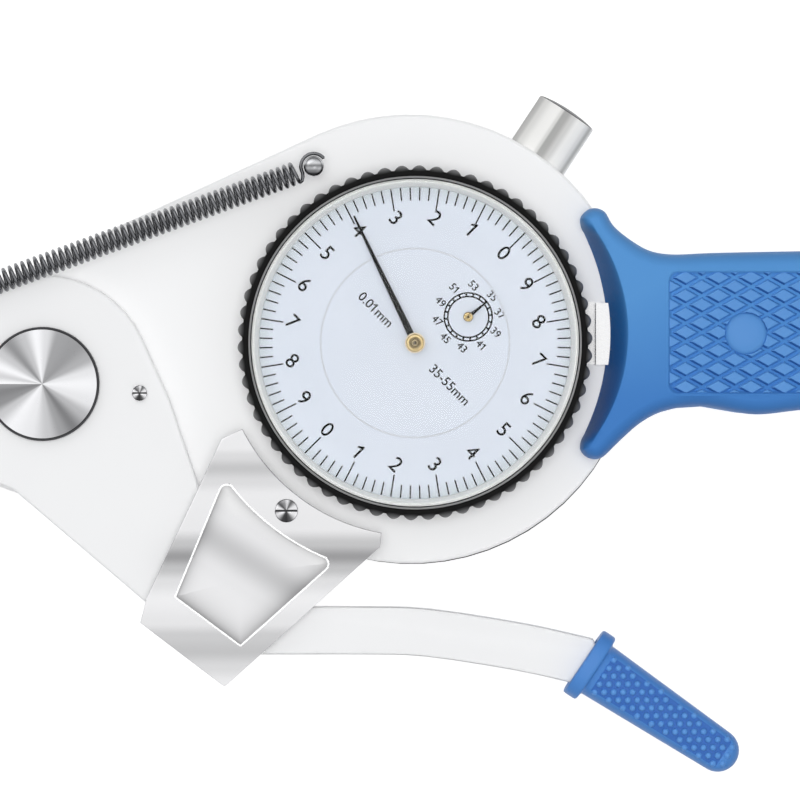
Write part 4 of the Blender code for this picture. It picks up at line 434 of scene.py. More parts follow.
def dial_face(name):
    """Pale blue satin lacquer, greyed towards the silver flange as painted shade, with a glow of painted light."""
    first, last, share = 22.6 * MM, 25.8 * MM, 0.85
    material = finish(name, (213, 218, 228), (210, 215, 225), 0.45, 0.05, bump=0.05, patch=30.0,
                      specular=0.2, glow=0.09)
    tree = material.node_tree
    tone = tree.nodes["tone"].outputs[2]
    target = tone.links[0].to_socket
    place = tree.nodes.new("ShaderNodeTexCoord").outputs["Object"]
    # Painted shade: the face darkens towards its rim, where the bezel and flange shade it.
    flat = added(tree, "ShaderNodeVectorMath", {0: place, 1: (1.0, 1.0, 0.0)}, operation="MULTIPLY")
    out = added(tree, "ShaderNodeVectorMath", {0: flat.outputs[0]}, operation="LENGTH")
    rise = added(tree, "ShaderNodeMapRange", {"Value": out.outputs["Value"], "From Min": first, "From Max": last,
                                              "To Max": share}, interpolation_type="SMOOTHSTEP")
    grey = added(tree, "ShaderNodeMix", {0: rise.outputs[0], 6: tone, 7: chip(188, 194, 198)}, data_type="RGBA")
    tree.links.new(grey.outputs[2], target)
    return material


dial_lacquer = dial_face("dial_lacquer")
ink = finish("dial_ink", (3, 3, 4), (2, 2, 3), 0.5, 0.05, bump=0.03, specular=0.05)
finer("dial_ring", 0.05 * MM, dial_lacquer, "bezel", "dial_face")
COUNTER = (8.70 * MM, 4.26 * MM)
centre_disc = turned("dial_centre_finished", in_mm((0.9, 15.1), (15.38, 15.1), (15.44, 15.06), (15.44, 14.5),
                                                   (0.9, 14.5)), 180, dial_lacquer, closed=True)
fit(break_edges(centre_disc, 0.0), "body", "dial_face", "dial_centre")


def print_tree(name):
    """Empty Geometry Nodes tree with its output, for a repeated piece."""
    tree = bpy.data.node_groups.new(name, "GeometryNodeTree")
    tree.interface.new_socket("Geometry", in_out="OUTPUT", socket_type="NodeSocketGeometry")
    return tree


def named_inputs(tree, *names):
    """Adds named size inputs to a tree and returns them as sockets."""
    for name in names:
        kind = "NodeSocketInt" if name in ("Count", "Skip Every") else "NodeSocketFloat"
        tree.interface.new_socket(name, in_out="INPUT", socket_type=kind)
    return tree.nodes.new("NodeGroupInput").outputs


def vector_of(tree, x=0.0, y=0.0, z=0.0):
    """Vector of three values or sockets."""
    return added(tree, "ShaderNodeCombineXYZ", {"X": x, "Y": y, "Z": z}).outputs[0]


def made_real(tree, copies, material):
    """Ends a tree with its copies as real mesh, in their finish."""
    real = added(tree, "GeometryNodeRealizeInstances", {0: copies})
    coloured = added(tree, "GeometryNodeSetMaterial", {"Geometry": real.outputs[0], "Material": material})
    added(tree, "NodeGroupOutput", {0: coloured.outputs[0]})
    return tree


def grown_by(tree, name, values, material, points=()):
    """Runs a tree on a mesh of loose points with the given inputs and keeps the result as plain mesh."""
    piece = bpy.data.objects.new(name, bpy.data.meshes.new(name))
    piece.data.from_pydata(points, [], [])
    bpy.context.collection.objects.link(piece)
    modifier = piece.modifiers.new(name, "NODES")
    modifier.node_group = tree
    for item in tree.interface.items_tree:
        if item.in_out == "INPUT" and item.name in values:
            modifier[item.identifier] = values[item.name]
    applied(piece)
    if not piece.data.materials:
        piece.data.materials.append(material)
    return piece


def make_tick_tree(material):
    """Ring of thin printed bars, each pointing at the middle; every so many may be left out."""
    tree = print_tree("printed_ticks")
    given = named_inputs(tree, "Count", "Skip Every", "Outer Radius", "Length", "Width", "Height", "Level", "Start")
    half = worked_out(tree, "MULTIPLY", given["Length"], 0.5)
    ring = added(tree, "GeometryNodeMeshCircle",
                 {"Vertices": given["Count"], "Radius": worked_out(tree, "SUBTRACT", given["Outer Radius"], half)})
    number = worked_out(tree, "ADD", tree.nodes.new("GeometryNodeInputIndex").outputs[0], 1.0)
    order = worked_out(tree, "MODULO", number, given["Skip Every"])
    size = vector_of(tree, given["Length"], given["Width"], given["Height"])
    bar = added(tree, "GeometryNodeMeshCube", {"Size": size})
    place = tree.nodes.new("GeometryNodeInputPosition")
    aim = added(tree, "FunctionNodeAlignRotationToVector", {"Vector": place.outputs[0]}, axis="X")
    spread = added(tree, "GeometryNodeInstanceOnPoints",
                   {"Points": ring.outputs["Mesh"], "Instance": bar.outputs["Mesh"],
                    "Selection": worked_out(tree, "GREATER_THAN", order, 0.5), "Rotation": aim.outputs["Rotation"]})
    moved = added(tree, "GeometryNodeTransform",
                  {"Geometry": spread.outputs[0], "Translation": vector_of(tree, z=given["Level"]),
                   "Rotation": vector_of(tree, z=given["Start"])})
    return made_real(tree, moved.outputs[0], material)


tick_tree = make_tick_tree(ink)
FIRST_NUMERAL = 45.0
NEVER = 1000


def ticks(name, count, skip, outer, length, width, level, start):
    """One ring of printed ticks round the dial's axis."""
    return grown_by(tick_tree, name, {"Count": count, "Skip Every": skip, "Outer Radius": outer, "Length": length,
                                      "Width": width, "Height": INK, "Level": level + INK / 2,
                                      "Start": math.radians(start)}, ink)


STROKE_GROWTH = 0.016 * MM
FLAG_SHARES = ((0.04, 0.0), (0.04, -0.11), (-0.17, -0.24), (-0.17, -0.14))
STEM_WIDTH_SHARE, STEM_HEIGHT_SHARE = 0.16, 0.55
COPY_RISE = 0.001 * MM


def add_flags(mesh, size):
    """Gives every bare upright stroke the short flag of a one."""
    glyphs = bmesh.new()
    glyphs.from_mesh(mesh)
    left = set(glyphs.verts)
    flags = []
    while left:
        island, edge = set(), [left.pop()]
        while edge:
            vert = edge.pop()
            island.add(vert)
            near = {other for link in vert.link_edges for other in link.verts} & left
            left -= near
            edge += near
        xs, ys = [v.co.x for v in island], [v.co.y for v in island]
        if max(xs) - min(xs) < STEM_WIDTH_SHARE * size and max(ys) - min(ys) > STEM_HEIGHT_SHARE * size:
            flags.append((min(xs), max(ys)))
    for x, top in flags:
        corners = [(x + a * size, top + b * size) for a, b in FLAG_SHARES]
        low, high = ([glyphs.verts.new((a, b, z)) for a, b in corners] for z in (-INK / 2, INK / 2))
        glyphs.faces.new(low)
        glyphs.faces.new(high[::-1])
        for i in range(4):
            glyphs.faces.new((low[i], low[i - 1], high[i - 1], high[i]))
    glyphs.to_mesh(mesh)
    glyphs.free()


def lettering(name, words, material):
    """Printed characters as thin mesh: (text, x, y, turn in degrees, size, top of the face)."""
    shell = bmesh.new()
    for text, x, y, turn, size, level in words:
        curve = bpy.data.curves.new("character", "FONT")
        curve.body = text
        curve.size = size
        curve.align_x = "CENTER"
        curve.align_y = "CENTER"
        curve.extrude = INK / 2
        curve.resolution_u = 4
        flat = bpy.data.objects.new("character", curve)
        bpy.context.collection.objects.link(flat)
        graph = bpy.context.evaluated_depsgraph_get()
        mesh = bpy.data.meshes.new_from_object(flat.evaluated_get(graph), depsgraph=graph)
        add_flags(mesh, size)
        mesh.transform(Matrix.Translation((x, y, level + INK / 2)) @ Matrix.Rotation(math.radians(turn), 4, "Z"))
        last = Vector((0.0, 0.0, 0.0))
        for step, way in enumerate(((-1, -1), (1, -1), (1, 1), (-1, 1))):
            spot = Vector((way[0] * STROKE_GROWTH, way[1] * STROKE_GROWTH, step * COPY_RISE))
            mesh.transform(Matrix.Translation(spot - last))
            last = spot
            shell.from_mesh(mesh)
        bpy.data.objects.remove(flat)
    return new_piece(name, shell, material)


TICK_RADIUS = 25.45 * MM
fit(ticks("short_ticks", 100, 5, TICK_RADIUS, 2.15 * MM, 0.23 * MM, RING_TOP, FIRST_NUMERAL + 3.6),
    "bezel", "dial_face")
fit(ticks("long_ticks", 20, NEVER, TICK_RADIUS, 3.65 * MM, 0.24 * MM, RING_TOP, FIRST_NUMERAL), "bezel", "dial_face")
NUMERAL_RADIUS = 20.4 * MM
NUMERAL_SIZE = 3.5 * MM
NUMERAL_RISE = 0.2 * MM
NUMERAL_TURN = -45.0
scale_numerals = []
for step in range(20):
    angle = math.radians(FIRST_NUMERAL + 18 * step)
    scale_numerals.append((str(step % 10), NUMERAL_RADIUS * math.cos(angle),
                           NUMERAL_RADIUS * math.sin(angle) + NUMERAL_RISE, NUMERAL_TURN, NUMERAL_SIZE, RING_TOP))
fit(lettering("scale_numerals", scale_numerals, ink), "bezel", "dial_face")


def printed_ring(name, inner, outer, centre, level):
    """Thin ring of ink."""
    return turned(name, [(inner, level), (outer, level), (outer, level + INK), (inner, level + INK)], 96, ink,
                  centre=centre, closed=True)


# Painted shade: a slightly darker grey ring fills the gap between the dial's centre and its ring.
step_painted_shade = finish("step_painted_shade", (204, 208, 216), (200, 204, 212), 0.5, 0.05, bump=0.03)
fit(turned("step_line", in_mm((15.28, 15.1), (15.60, 15.1), (15.60, 15.296), (15.28, 15.296)), 180, step_painted_shade,
           closed=True), "body", "dial_face")
counter_rings = ((3.22, 3.47), (3.80, 4.05))
for number, (inner, outer) in enumerate(counter_rings):
    fit(printed_ring(f"counter_ring_{number + 1}", inner * MM, outer * MM, COUNTER, CENTRE_TOP), "body", "dial_face")
FIRST_LABEL = 41.0
counter_ticks = ticks("counter_ticks", 20, NEVER, 3.82 * MM, 0.40 * MM, 0.30 * MM, CENTRE_TOP, FIRST_LABEL)
counter_ticks.data.transform(Matrix.Translation((*COUNTER, 0.0)))
fit(counter_ticks, "body", "dial_face")
LABEL_RADIUS = 5.15 * MM
LABEL_STEP = 35.6
LABEL_SIZE, WORD_SIZE = 1.75 * MM, 2.2 * MM
centre_words = []
for step, value in enumerate(range(35, 55, 2)):
    angle = math.radians(FIRST_LABEL - LABEL_STEP * step)
    centre_words.append((str(value), COUNTER[0] + LABEL_RADIUS * math.cos(angle),
                         COUNTER[1] + LABEL_RADIUS * math.sin(angle), NUMERAL_TURN, LABEL_SIZE, CENTRE_TOP))
centre_words.append(("0.01mm", -6.45 * MM, 5.4 * MM, NUMERAL_TURN, WORD_SIZE, CENTRE_TOP))
centre_words.append(("35-55mm", 5.6 * MM, -6.9 * MM, NUMERAL_TURN, WORD_SIZE, CENTRE_TOP))
fit(lettering("centre_lettering", centre_words, ink), "body", "dial_face")


# Hands and hubs
# Two stamped hands, painted black, are pressed on brass hubs. The long one counts hundredths,
# the short one counts its turns.

hand_paint = finish("hand_paint", (3, 3, 4), (2, 2, 3), 0.45, 0.06, bump=0.05, specular=0.04)
hub_brass = finish("hub_brass", (158, 138, 98), (140, 122, 84), 0.40, 0.08, metallic=1.0, grain=2600.0)
# Painted light on the hubs: the pale rings are painted highlights, the darker rings painted shade, and the near-black
# disc in each hole is painted shadow.
hub_painted_highlight = finish("hub_painted_highlight", (238, 222, 194), (226, 208, 178), 0.5, 0.05, bump=0.03)
hub_line = finish("hub_line", (112, 94, 60), (98, 82, 50), 0.5, 0.05, bump=0.03)
hub_hole_painted_shadow = finish("hub_hole_painted_shadow", (30, 22, 14), (20, 14, 10), 0.6, 0.05, bump=0.05)


def loop_at(shell, outline, height):
    """Loop of vertices along an outline at one height."""
    return [shell.verts.new((x, y, height)) for x, y in outline]


def walls(shell, rings):
    """Joins loops of vertices one above the other."""
    for low, high in zip(rings, rings[1:]):
        for i in range(len(low)):
            shell.faces.new((low[i - 1], low[i], high[i], high[i - 1]))


def block(name, outline, low, high, *materials):
    """Upright block with the given outline."""
    shell = bmesh.new()
    floor, roof = loop_at(shell, outline, low), loop_at(shell, outline, high)
    shell.faces.new(floor[::-1])
    shell.faces.new(roof)
    walls(shell, [floor, roof])
    bmesh.ops.recalc_face_normals(shell, faces=shell.faces)
    return new_piece(name, shell, *materials)


def hand(node_name, body, centre, turn, root, tip, root_half, tip_half):
    """Tapering blade at the height of its CAD node, rooted under the hub."""
    heights = [vert.co.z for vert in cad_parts[node_name].data.vertices]
    ahead = Vector((math.cos(math.radians(turn)), math.sin(math.radians(turn))))
    aside = Vector((-ahead.y, ahead.x))
    outline = [Vector(centre) + ahead * along * MM + aside * across * MM
               for along, across in ((root, -root_half), (tip, -tip_half), (tip, tip_half), (root, root_half))]
    blade = block(node_name + "_finished", outline, min(heights), max(heights), hand_paint)
    return fit(break_edges(blade, 0.03 * MM), body, "pointer_black", node_name)


hand("main_pointer", "pointer", (0.0, 0.0), 115.7, 1.3, 23.0, 0.58, 0.17)
hand("counter_pointer", "counter", COUNTER, 39.0, 0.6, 3.8, 0.30, 0.12)
main_hub = turned("pointer_hub_finished", in_mm((0.0, 15.4), (1.6, 15.4), (1.6, 17.3), (1.45, 17.45), (0.78, 17.45),
                                                (0.66, 17.32), (0.58, 17.32), (0.52, 17.5), (0.36, 17.5),
                                                (0.30, 17.3), (0.0, 17.3)), 48, hub_brass)
fit(break_edges(main_hub, 0.0), "pointer", "brass", "pointer_hub")
hub_rings = ((1.46, 1.66, hub_painted_highlight), (0.90, 1.06, hub_line), (0.58, 0.66, hub_line), (0.30, 0.46, hub_painted_highlight))
for number, (inner, outer, tone) in enumerate(hub_rings):
    fit(turned(f"pointer_hub_line_{number + 1}", in_mm((inner, 17.2), (outer, 17.2), (outer, 17.47), (inner, 17.47)),
               48, tone, closed=True), "pointer", "brass")
fit(break_edges(turned("pointer_hub_hole", in_mm((0.0, 17.3), (0.31, 17.3), (0.31, 17.34), (0.0, 17.34)), 24,
                       hub_hole_painted_shadow), 0.0), "pointer", "brass")
small_hub = turned("counter_hub_finished", in_mm((0.0, 15.4), (0.8, 15.4), (0.8, 16.15), (0.70, 16.25),
                                                 (0.42, 16.25), (0.36, 16.18), (0.32, 16.3), (0.2, 16.3),
                                                 (0.16, 16.2), (0.0, 16.2)), 36, hub_brass, centre=COUNTER)
fit(break_edges(small_hub, 0.0), "counter", "brass", "counter_hub")
fit(break_edges(turned("counter_hub_hole", in_mm((0.0, 16.2), (0.17, 16.2), (0.17, 16.23), (0.0, 16.23)), 20,
                       hub_hole_painted_shadow, centre=COUNTER), 0.0), "counter", "brass")


# Bezel
# A moulded black ring with 62 finger scallops turns on a brass seat. It carries a brushed
# silver flange round the dial and the glass, which a thin ring holds in; the ring's light grey is a painted highlight.

SCALLOPS = 62
SIDES_PER_SCALLOP = 12
SCALLOP_SHARE = 0.42
SCALLOP_DEPTH = 0.75 * MM
SCALLOP_PHASE = math.radians(1.4)


def shade_by_edge(material):
    """Darkens a finish by the piece's own attribute of painted shade and highlight."""
    tree = material.node_tree
    tone = tree.nodes["tone"]
    target = tone.outputs[2].links[0].to_socket
    shade = added(tree, "ShaderNodeAttribute", attribute_name="painted_light")
    tree.links.new(multiplied(tree, tone.outputs[2], shade.outputs["Color"]).outputs[2], target)
    return material


bezel_black = shade_by_edge(finish("bezel_black", (180, 180, 181), (164, 164, 165), 0.42, 0.06, bump=0.12,
                                   grain=1600.0, specular=0.10))
ring_painted_highlight = finish("ring_painted_highlight", (150, 150, 150), (132, 132, 132), 0.45, 0.06)
# The flange's glow is painted light that brightens it.
flange_silver = finish("flange_silver", (234, 234, 231), (224, 224, 221), 0.42, 0.08, grain=1400.0,
                       glow=0.12)


def make_bezel():
    """Ring whose outside swells into rounded bumps, their tips lighter as painted highlight; its inside steps down to
    the lip under the dial.
    """
    rows = in_mm((28.15, 12.3), (28.25, 12.5), (28.25, 18.9), (28.25, 19.5), (28.22, 20.1), (28.12, 20.4),
                 (27.95, 20.5), (27.32, 20.5), (27.22, 20.44), (27.20, 20.2), (27.0, 20.0), (27.0, 14.4),
                 (25.6, 14.4), (25.6, 12.3))
    bump_shares = (0.7, 0.95, 1.0, 0.86, 0.50, 0.16)
    sides = SCALLOPS * SIDES_PER_SCALLOP
    shell = bmesh.new()
    shade = shell.verts.layers.float_color.new("painted_light")
    rings = []
    for number, (radius, height) in enumerate(rows):
        ring = []
        for i in range(sides):
            phase = (i / SIDES_PER_SCALLOP) % 1.0 - 0.5
            swell = math.cos(math.pi * phase / (2 * SCALLOP_SHARE)) ** 0.8 if abs(phase) < SCALLOP_SHARE else 0.0
            share = bump_shares[number] if number < len(bump_shares) else 0.0
            reach = radius + SCALLOP_DEPTH * swell * share
            angle = 2 * math.pi * i / sides - SCALLOP_PHASE
            vert = shell.verts.new((reach * math.cos(angle), reach * math.sin(angle), height))
            # Painted highlight: the outer tips of the scallops are painted lighter, the rest of the ring near black.
            value = 0.008 + 0.6 * swell * share ** 0.8
            vert[shade] = (value, value, value, 1.0)
            ring.append(vert)
        rings.append(ring)
    walls(shell, rings + rings[:1])
    bmesh.ops.recalc_face_normals(shell, faces=shell.faces)
    return new_piece("bezel_finished", shell, bezel_black)


fit(break_edges(make_bezel(), 0.0), "bezel", "bezel_black", "bezel")
glass_ring = turned("glass_ring", in_mm((26.88, 20.22), (27.0, 20.32), (27.16, 20.36), (27.21, 20.26),
                                        (27.19, 20.05), (26.88, 20.02)), 180, ring_painted_highlight, closed=True)
fit(break_edges(glass_ring, 0.0), "bezel", "polished_steel")
dress(turned_brass, "bezel_seat_ring")
flange = turned("dial_flange_finished", in_mm((25.5, 15.6), (25.62, 16.2), (26.1, 18.4), (26.22, 18.62), (26.4, 18.7),
                                              (26.7, 18.7), (26.7, 15.6)), 240, flange_silver, closed=True)
fit(break_edges(flange, 0.0), "bezel", "dial_silver", "dial_flange")


def clear_glass():
    """Mineral glass that lets the lamps through to the dial."""
    material = finish("dial_glass", (254, 255, 255), (250, 252, 253), 0.03, 0.01, bump=0.0)
    tree = material.node_tree
    base = tree.nodes["Principled BSDF"]
    feed(tree, base, {"Transmission Weight": 1.0, "IOR": 1.14, "Specular IOR Level": 0.1})
    path = tree.nodes.new("ShaderNodeLightPath")
    through = tree.nodes.new("ShaderNodeBsdfTransparent")
    indirect = worked_out(tree, "MAXIMUM", path.outputs["Is Shadow Ray"], path.outputs["Is Diffuse Ray"])
    mixed = added(tree, "ShaderNodeMixShader", {"Fac": indirect, 1: base.outputs[0], 2: through.outputs[0]})
    feed(tree, tree.nodes["Material Output"], {"Surface": mixed.outputs[0]})
    return material


glass = turned("crystal_finished", in_mm((0.0, 19.0), (26.7, 19.0), (26.7, 20.05), (26.55, 20.2), (0.0, 20.2)), 180,
               clear_glass())
fit(break_edges(glass, 0.0), "bezel", "crystal", "crystal")


# Pivot
# A steel shaft in a brass bush carries the lever. A disc of brushed steel, faced on a lathe,
# covers the shaft's head; its wedge glints are painted into its colour as painted highlights.

PIVOT = (-60.98 * MM, -6.72 * MM)
dress(ground_steel, "pivot_shaft")
dress(turned_brass, "pivot_bush")
# Painted highlights: the radial glints are painted into the cap's colour.
faced_steel = finish("faced_steel", (252, 252, 253), (243, 244, 246), 0.30, 0.06, metallic=1.0, bump=0.06)
bands(faced_steel, "RADIAL", (*PIVOT, 0.0), 0.0, 1.0,
      ((0.0, 160), (0.03, 136), (0.07, 150), (0.10, 205), (0.15, 250), (0.21, 240), (0.27, 205), (0.31, 165),
       (0.35, 132), (0.40, 190), (0.44, 236), (0.50, 250), (0.54, 235), (0.58, 180), (0.63, 158), (0.70, 166),
       (0.735, 225), (0.77, 250), (0.81, 200), (0.86, 150), (0.90, 205), (0.94, 250), (0.97, 215), (1.0, 160)))
# Painted reflection: the cap's bevelled rim is painted dark grey.
rim_painted_reflection = finish("rim_painted_reflection", (92, 92, 94), (70, 70, 72), 0.30, 0.06, metallic=1.0)
cap_face = turned("pivot_cap_finished", in_mm((0.0, 15.6), (8.98, 15.6), (8.98, 16.9), (8.85, 17.0), (0.0, 17.0)), 128,
                  faced_steel, centre=PIVOT)
fit(break_edges(cap_face, 0.0), "lever", "polished_steel", "pivot_cap")
cap_rim = turned("pivot_cap_rim", in_mm((8.98, 15.6), (9.30, 15.6), (9.35, 15.7), (9.35, 16.55), (9.28, 16.8),
                                        (9.12, 16.95), (8.98, 16.97)), 128, rim_painted_reflection, centre=PIVOT, closed=True)
fit(break_edges(cap_rim, 0.0), "lever", "polished_steel")


# Lever
# A milled white arm with a round boss turns on the pivot. It carries the moving jaw, the trigger,
# and under its tail the block whose hard pad pushes the spindle.

# The glow is painted light that lifts the arm's shade and evens its white.
arm_enamel = finish("arm_enamel", (230, 230, 230), (227, 227, 228), 0.42, 0.06, bump=0.10,
                    grain=900.0, specular=0.3, glow=0.18)
finer("moving_arm", 0.20 * MM, arm_enamel, "lever", "white_enamel")
finer("trigger_lever", 0.25 * MM, arm_enamel, "lever", "white_enamel")
hard_steel = finish("hard_steel", (216, 218, 222), (196, 199, 204), 0.18, 0.05, metallic=1.0, bump=0.05)
for name in ("moving_jaw", "moving_jaw_tip"):
    finer(name, 0.12 * MM, hard_steel, "lever", "polished_steel")
for name in ("fixed_jaw", "fixed_jaw_tip"):
    finer(name, 0.12 * MM, hard_steel, "body", "polished_steel")
dress(zinc_screw, "moving_jaw_screw_1", "moving_jaw_screw_2", "fixed_jaw_screw_1", "fixed_jaw_screw_2",
      "push_block_screw_1", "push_block_screw_2", "push_block_screw_3", "push_block_screw_4")
dress(hard_steel, "push_pad")
dress(white_enamel, "push_block")


def arc(centre, radius, first, last, steps):
    """Points along an arc, degrees counterclockwise."""
    return [(centre[0] + radius * math.cos(a), centre[1] + radius * math.sin(a))
            for a in np.radians(np.linspace(first, last, steps + 1))]


def with_round_corners(corners, radii, steps=5):
    """Outline whose corners are rounded by the given radii; zero leaves a corner."""
    outline = []
    for i, (corner, radius) in enumerate(zip(corners, radii)):
        here = Vector(corner)
        if not radius:
            outline.append(tuple(here))
            continue
        to_last = (Vector(corners[i - 1]) - here).normalized()
        to_next = (Vector(corners[(i + 1) % len(corners)]) - here).normalized()
        half = to_last.angle(to_next) / 2
        run = radius / math.tan(half)
        centre = here + (to_last + to_next).normalized() * (radius / math.sin(half))
        first, last = here + to_last * run - centre, here + to_next * run - centre
        sweep = first.angle_signed(last)
        for k in range(steps + 1):
            spin = Matrix.Rotation(-sweep * k / steps, 2)
            outline.append(tuple(centre + spin @ first))
    return outline


# Painted shadow: a dark block sits in each screw's slot.
slot_painted_shadow = finish("slot_painted_shadow", (64, 64, 66), (46, 46, 48), 0.5, 0.05, metallic=0.5, bump=0.03)
PAINTED_GLINTS = ((0.0, 120), (0.06, 235), (0.19, 70), (0.25, 60), (0.31, 90), (0.44, 245), (0.56, 245), (0.67, 110),
          (0.73, 225), (0.79, 150), (0.88, 90), (0.94, 245), (1.0, 120))


def cut(piece, operation, *tools):
    """Cuts a piece with other pieces, which are used up."""
    for tool in tools:
        step = piece.modifiers.new("cut", "BOOLEAN")
        step.operation = operation
        step.object = tool
    applied(piece)
    for tool in tools:
        bpy.data.objects.remove(tool)
    return piece


def cutting_box(matrix):
    """Cube that a matrix sizes and places."""
    shell = bmesh.new()
    bmesh.ops.create_cube(shell, size=1.0, matrix=matrix)
    return new_piece("cutting_box", shell)


def slotted_head(name, material, centre, radius, low, high, slot_width, slot_depth, dome):
    """Cheese-head screw top, faced on a lathe, and a dark block in its driver slot as painted shadow."""
    half_length, half_width, corner = radius * 0.96, slot_width * 0.5, slot_width * 0.2
    profile = [(0.0, low), (radius, low), (radius, high - dome), (radius - dome * 0.6, high - dome * 0.35),
               (radius - dome * 1.6, high), (0.0, high)]
    head = turned(name, profile, 48, material, centre=centre)
    cut(head, "DIFFERENCE", cutting_box(Matrix.Translation((*centre, high))
                                        @ Matrix.Diagonal((radius * 2.4, slot_width, slot_depth * 2, 1.0))))
    floor = high - slot_depth
    corners = [(centre[0] + a * half_length, centre[1] + b * half_width)
               for a, b in ((-1, -1), (1, -1), (1, 1), (-1, 1))]
    shadow = block(name + "_slot", with_round_corners(corners, [corner] * 4, 3), floor - 0.05 * MM,
                   floor + slot_depth * 0.35, slot_painted_shadow)
    return head, shadow


def glinting(name, centre):
    """Lathe-faced screw steel with wedge glints painted into its colour round its own middle, as painted highlights."""
    material = finish(name, (250, 250, 250), (240, 240, 242), 0.24, 0.05, metallic=1.0, bump=0.04)
    return bands(material, "RADIAL", (*centre, 0.0), 0.0, 1.0, PAINTED_GLINTS)


STOP = (-45.1 * MM, -8.2 * MM)
stop_head, stop_slot = slotted_head("stop_screw_head", glinting("stop_screw_steel", STOP), STOP, 1.25 * MM,
                                    15.45 * MM, 16.2 * MM, 0.24 * MM, 0.3 * MM, 0.12 * MM)
fit(break_edges(stop_head, 0.03 * MM), "lever", "polished_steel", "stop_screw")
fit(stop_slot, "lever", "polished_steel")


# Return spring
# Close-wound music wire pulls the arm's post towards a domed screw on the case. Each end is
# bent up into a hook that goes round a neck.

ANCHOR = (-16.56 * MM, 28.85 * MM)
POST = (-78.5 * MM, 7.8 * MM)
EYE_OFFSET = (-0.76 * MM, -1.96 * MM)
WIRE_RADIUS, WIRE_PITCH = 0.30 * MM, 1.08 * MM
spring_wire = finish("spring_wire", (140, 141, 144), (98, 99, 102), 0.24, 0.08, metallic=1.0, bump=0.05)


def make_wire(name, path, radius, sides, material):
    """Round wire along a line of points, with rounded ends."""
    points = [Vector(p) for p in path]
    shell = bmesh.new()
    rings = []
    side = None
    for i, point in enumerate(points):
        ahead = (points[min(i + 1, len(points) - 1)] - points[max(i - 1, 0)]).normalized()
        side = ahead.orthogonal() if side is None else side - ahead * side.dot(ahead)
        side.normalize()
        other = ahead.cross(side)
        rings.append([shell.verts.new(point + (side * math.cos(2 * math.pi * k / sides)
                                               + other * math.sin(2 * math.pi * k / sides)) * radius)
                      for k in range(sides)])
    walls(shell, rings)
    for ring, point, inward in ((rings[0], points[0], points[1]), (rings[-1], points[-1], points[-2])):
        tip = shell.verts.new(point + (point - inward).normalized() * radius * 0.6)
        for k in range(sides):
            shell.faces.new((ring[k - 1], ring[k], tip))
    bmesh.ops.recalc_face_normals(shell, faces=shell.faces)
    return new_piece(name, shell, material)


def spring_path():
    """Hook, curls and hook, as one line."""
    start, end = Vector(ANCHOR), Vector(POST) + Vector(EYE_OFFSET)
    reach = (end - start).length
    ahead = (end - start) / reach
    aside = Vector((-ahead.y, ahead.x))
    level, coil, gap, hook_radius = 17.85 * MM, 1.70 * MM, 3.0 * MM, 2.1 * MM
    curls = round((reach - 2 * gap) / WIRE_PITCH)
    pitch = (reach - 2 * gap) / curls
    per_curl = 16

    def place(along, across, up):
        spot = start + ahead * along + aside * across
        return (spot.x, spot.y, level + up)

    def hook(centre, way):
        bend = [place(centre - way * hook_radius * math.cos(angle), -hook_radius * math.sin(angle), 0.0)
                for angle in np.radians(np.linspace(20, 190, 18))]
        foot = place(centre + way * gap * 0.74, coil * 0.55, 0.0)
        return bend + [foot, place(centre + way * gap * 0.86, coil * 0.90, 0.0)]

    line = hook(0.0, 1)
    for i in range(curls * per_curl + 1):
        turn = 2 * math.pi * i / per_curl
        line.append(place(gap + pitch * i / per_curl, coil * math.cos(turn), coil * math.sin(turn)))
    eye = [place(reach + hook_radius * math.sin(angle), hook_radius * (math.cos(angle) - 1.0), 0.0)
           for angle in np.radians(np.linspace(0, 250, 22))]
    return line + [place(reach - gap * 0.86, coil * 0.6, 0.0), place(reach - gap * 0.6, coil * 0.1, 0.0)] + eye


spring = make_wire("return_spring_finished", spring_path(), WIRE_RADIUS, 10, spring_wire)
spring.data.shade_smooth()
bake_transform(spring)
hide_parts("return_spring")


DOME_RADIUS = 1.7 * MM


def dome_steel(name, centre):
    """Polished dome with painted reflection bands, darkest on its lower side."""
    material = finish(name, (236, 237, 238), (214, 216, 219), 0.22, 0.05, metallic=1.0, bump=0.04)
    return bands(material, "LINEAR", (0.0, centre[1] + DOME_RADIUS, 0.0), -90.0, 2 * DOME_RADIUS,
                 ((0.0, 90), (0.14, 170), (0.34, 236), (0.48, 150), (0.60, 196), (0.74, 140), (0.88, 66), (1.0, 30)))


def domed_head(name, centre, low):
    """Round-headed anchor: a thin neck under a polished dome."""
    profile = [(0.0, low), (1.0 * MM, low)] + in_mm((1.0, 18.35), (1.45, 18.42), (1.63, 18.62), (1.65, 18.85),
                                                    (1.55, 19.15), (1.3, 19.4), (0.9, 19.55), (0.35, 19.6),
                                                    (0.18, 19.52), (0.0, 19.5))
    return turned(name, profile, 48, dome_steel(name + "_steel", centre), centre=centre)


fit(break_edges(domed_head("spring_screw_finished", ANCHOR, 12.05 * MM), 0.0), "body", "polished_steel", "spring_screw")
fit(break_edges(domed_head("spring_post_finished", POST, 15.35 * MM), 0.0), "lever", "polished_steel", "spring_pin")


# Guard
# A chromed brass cover over the push contact stands on one foot beside the bezel. Its face has a
# pressed window whose edge carries a glowing white line as a painted highlight, and one slotted screw holds it.

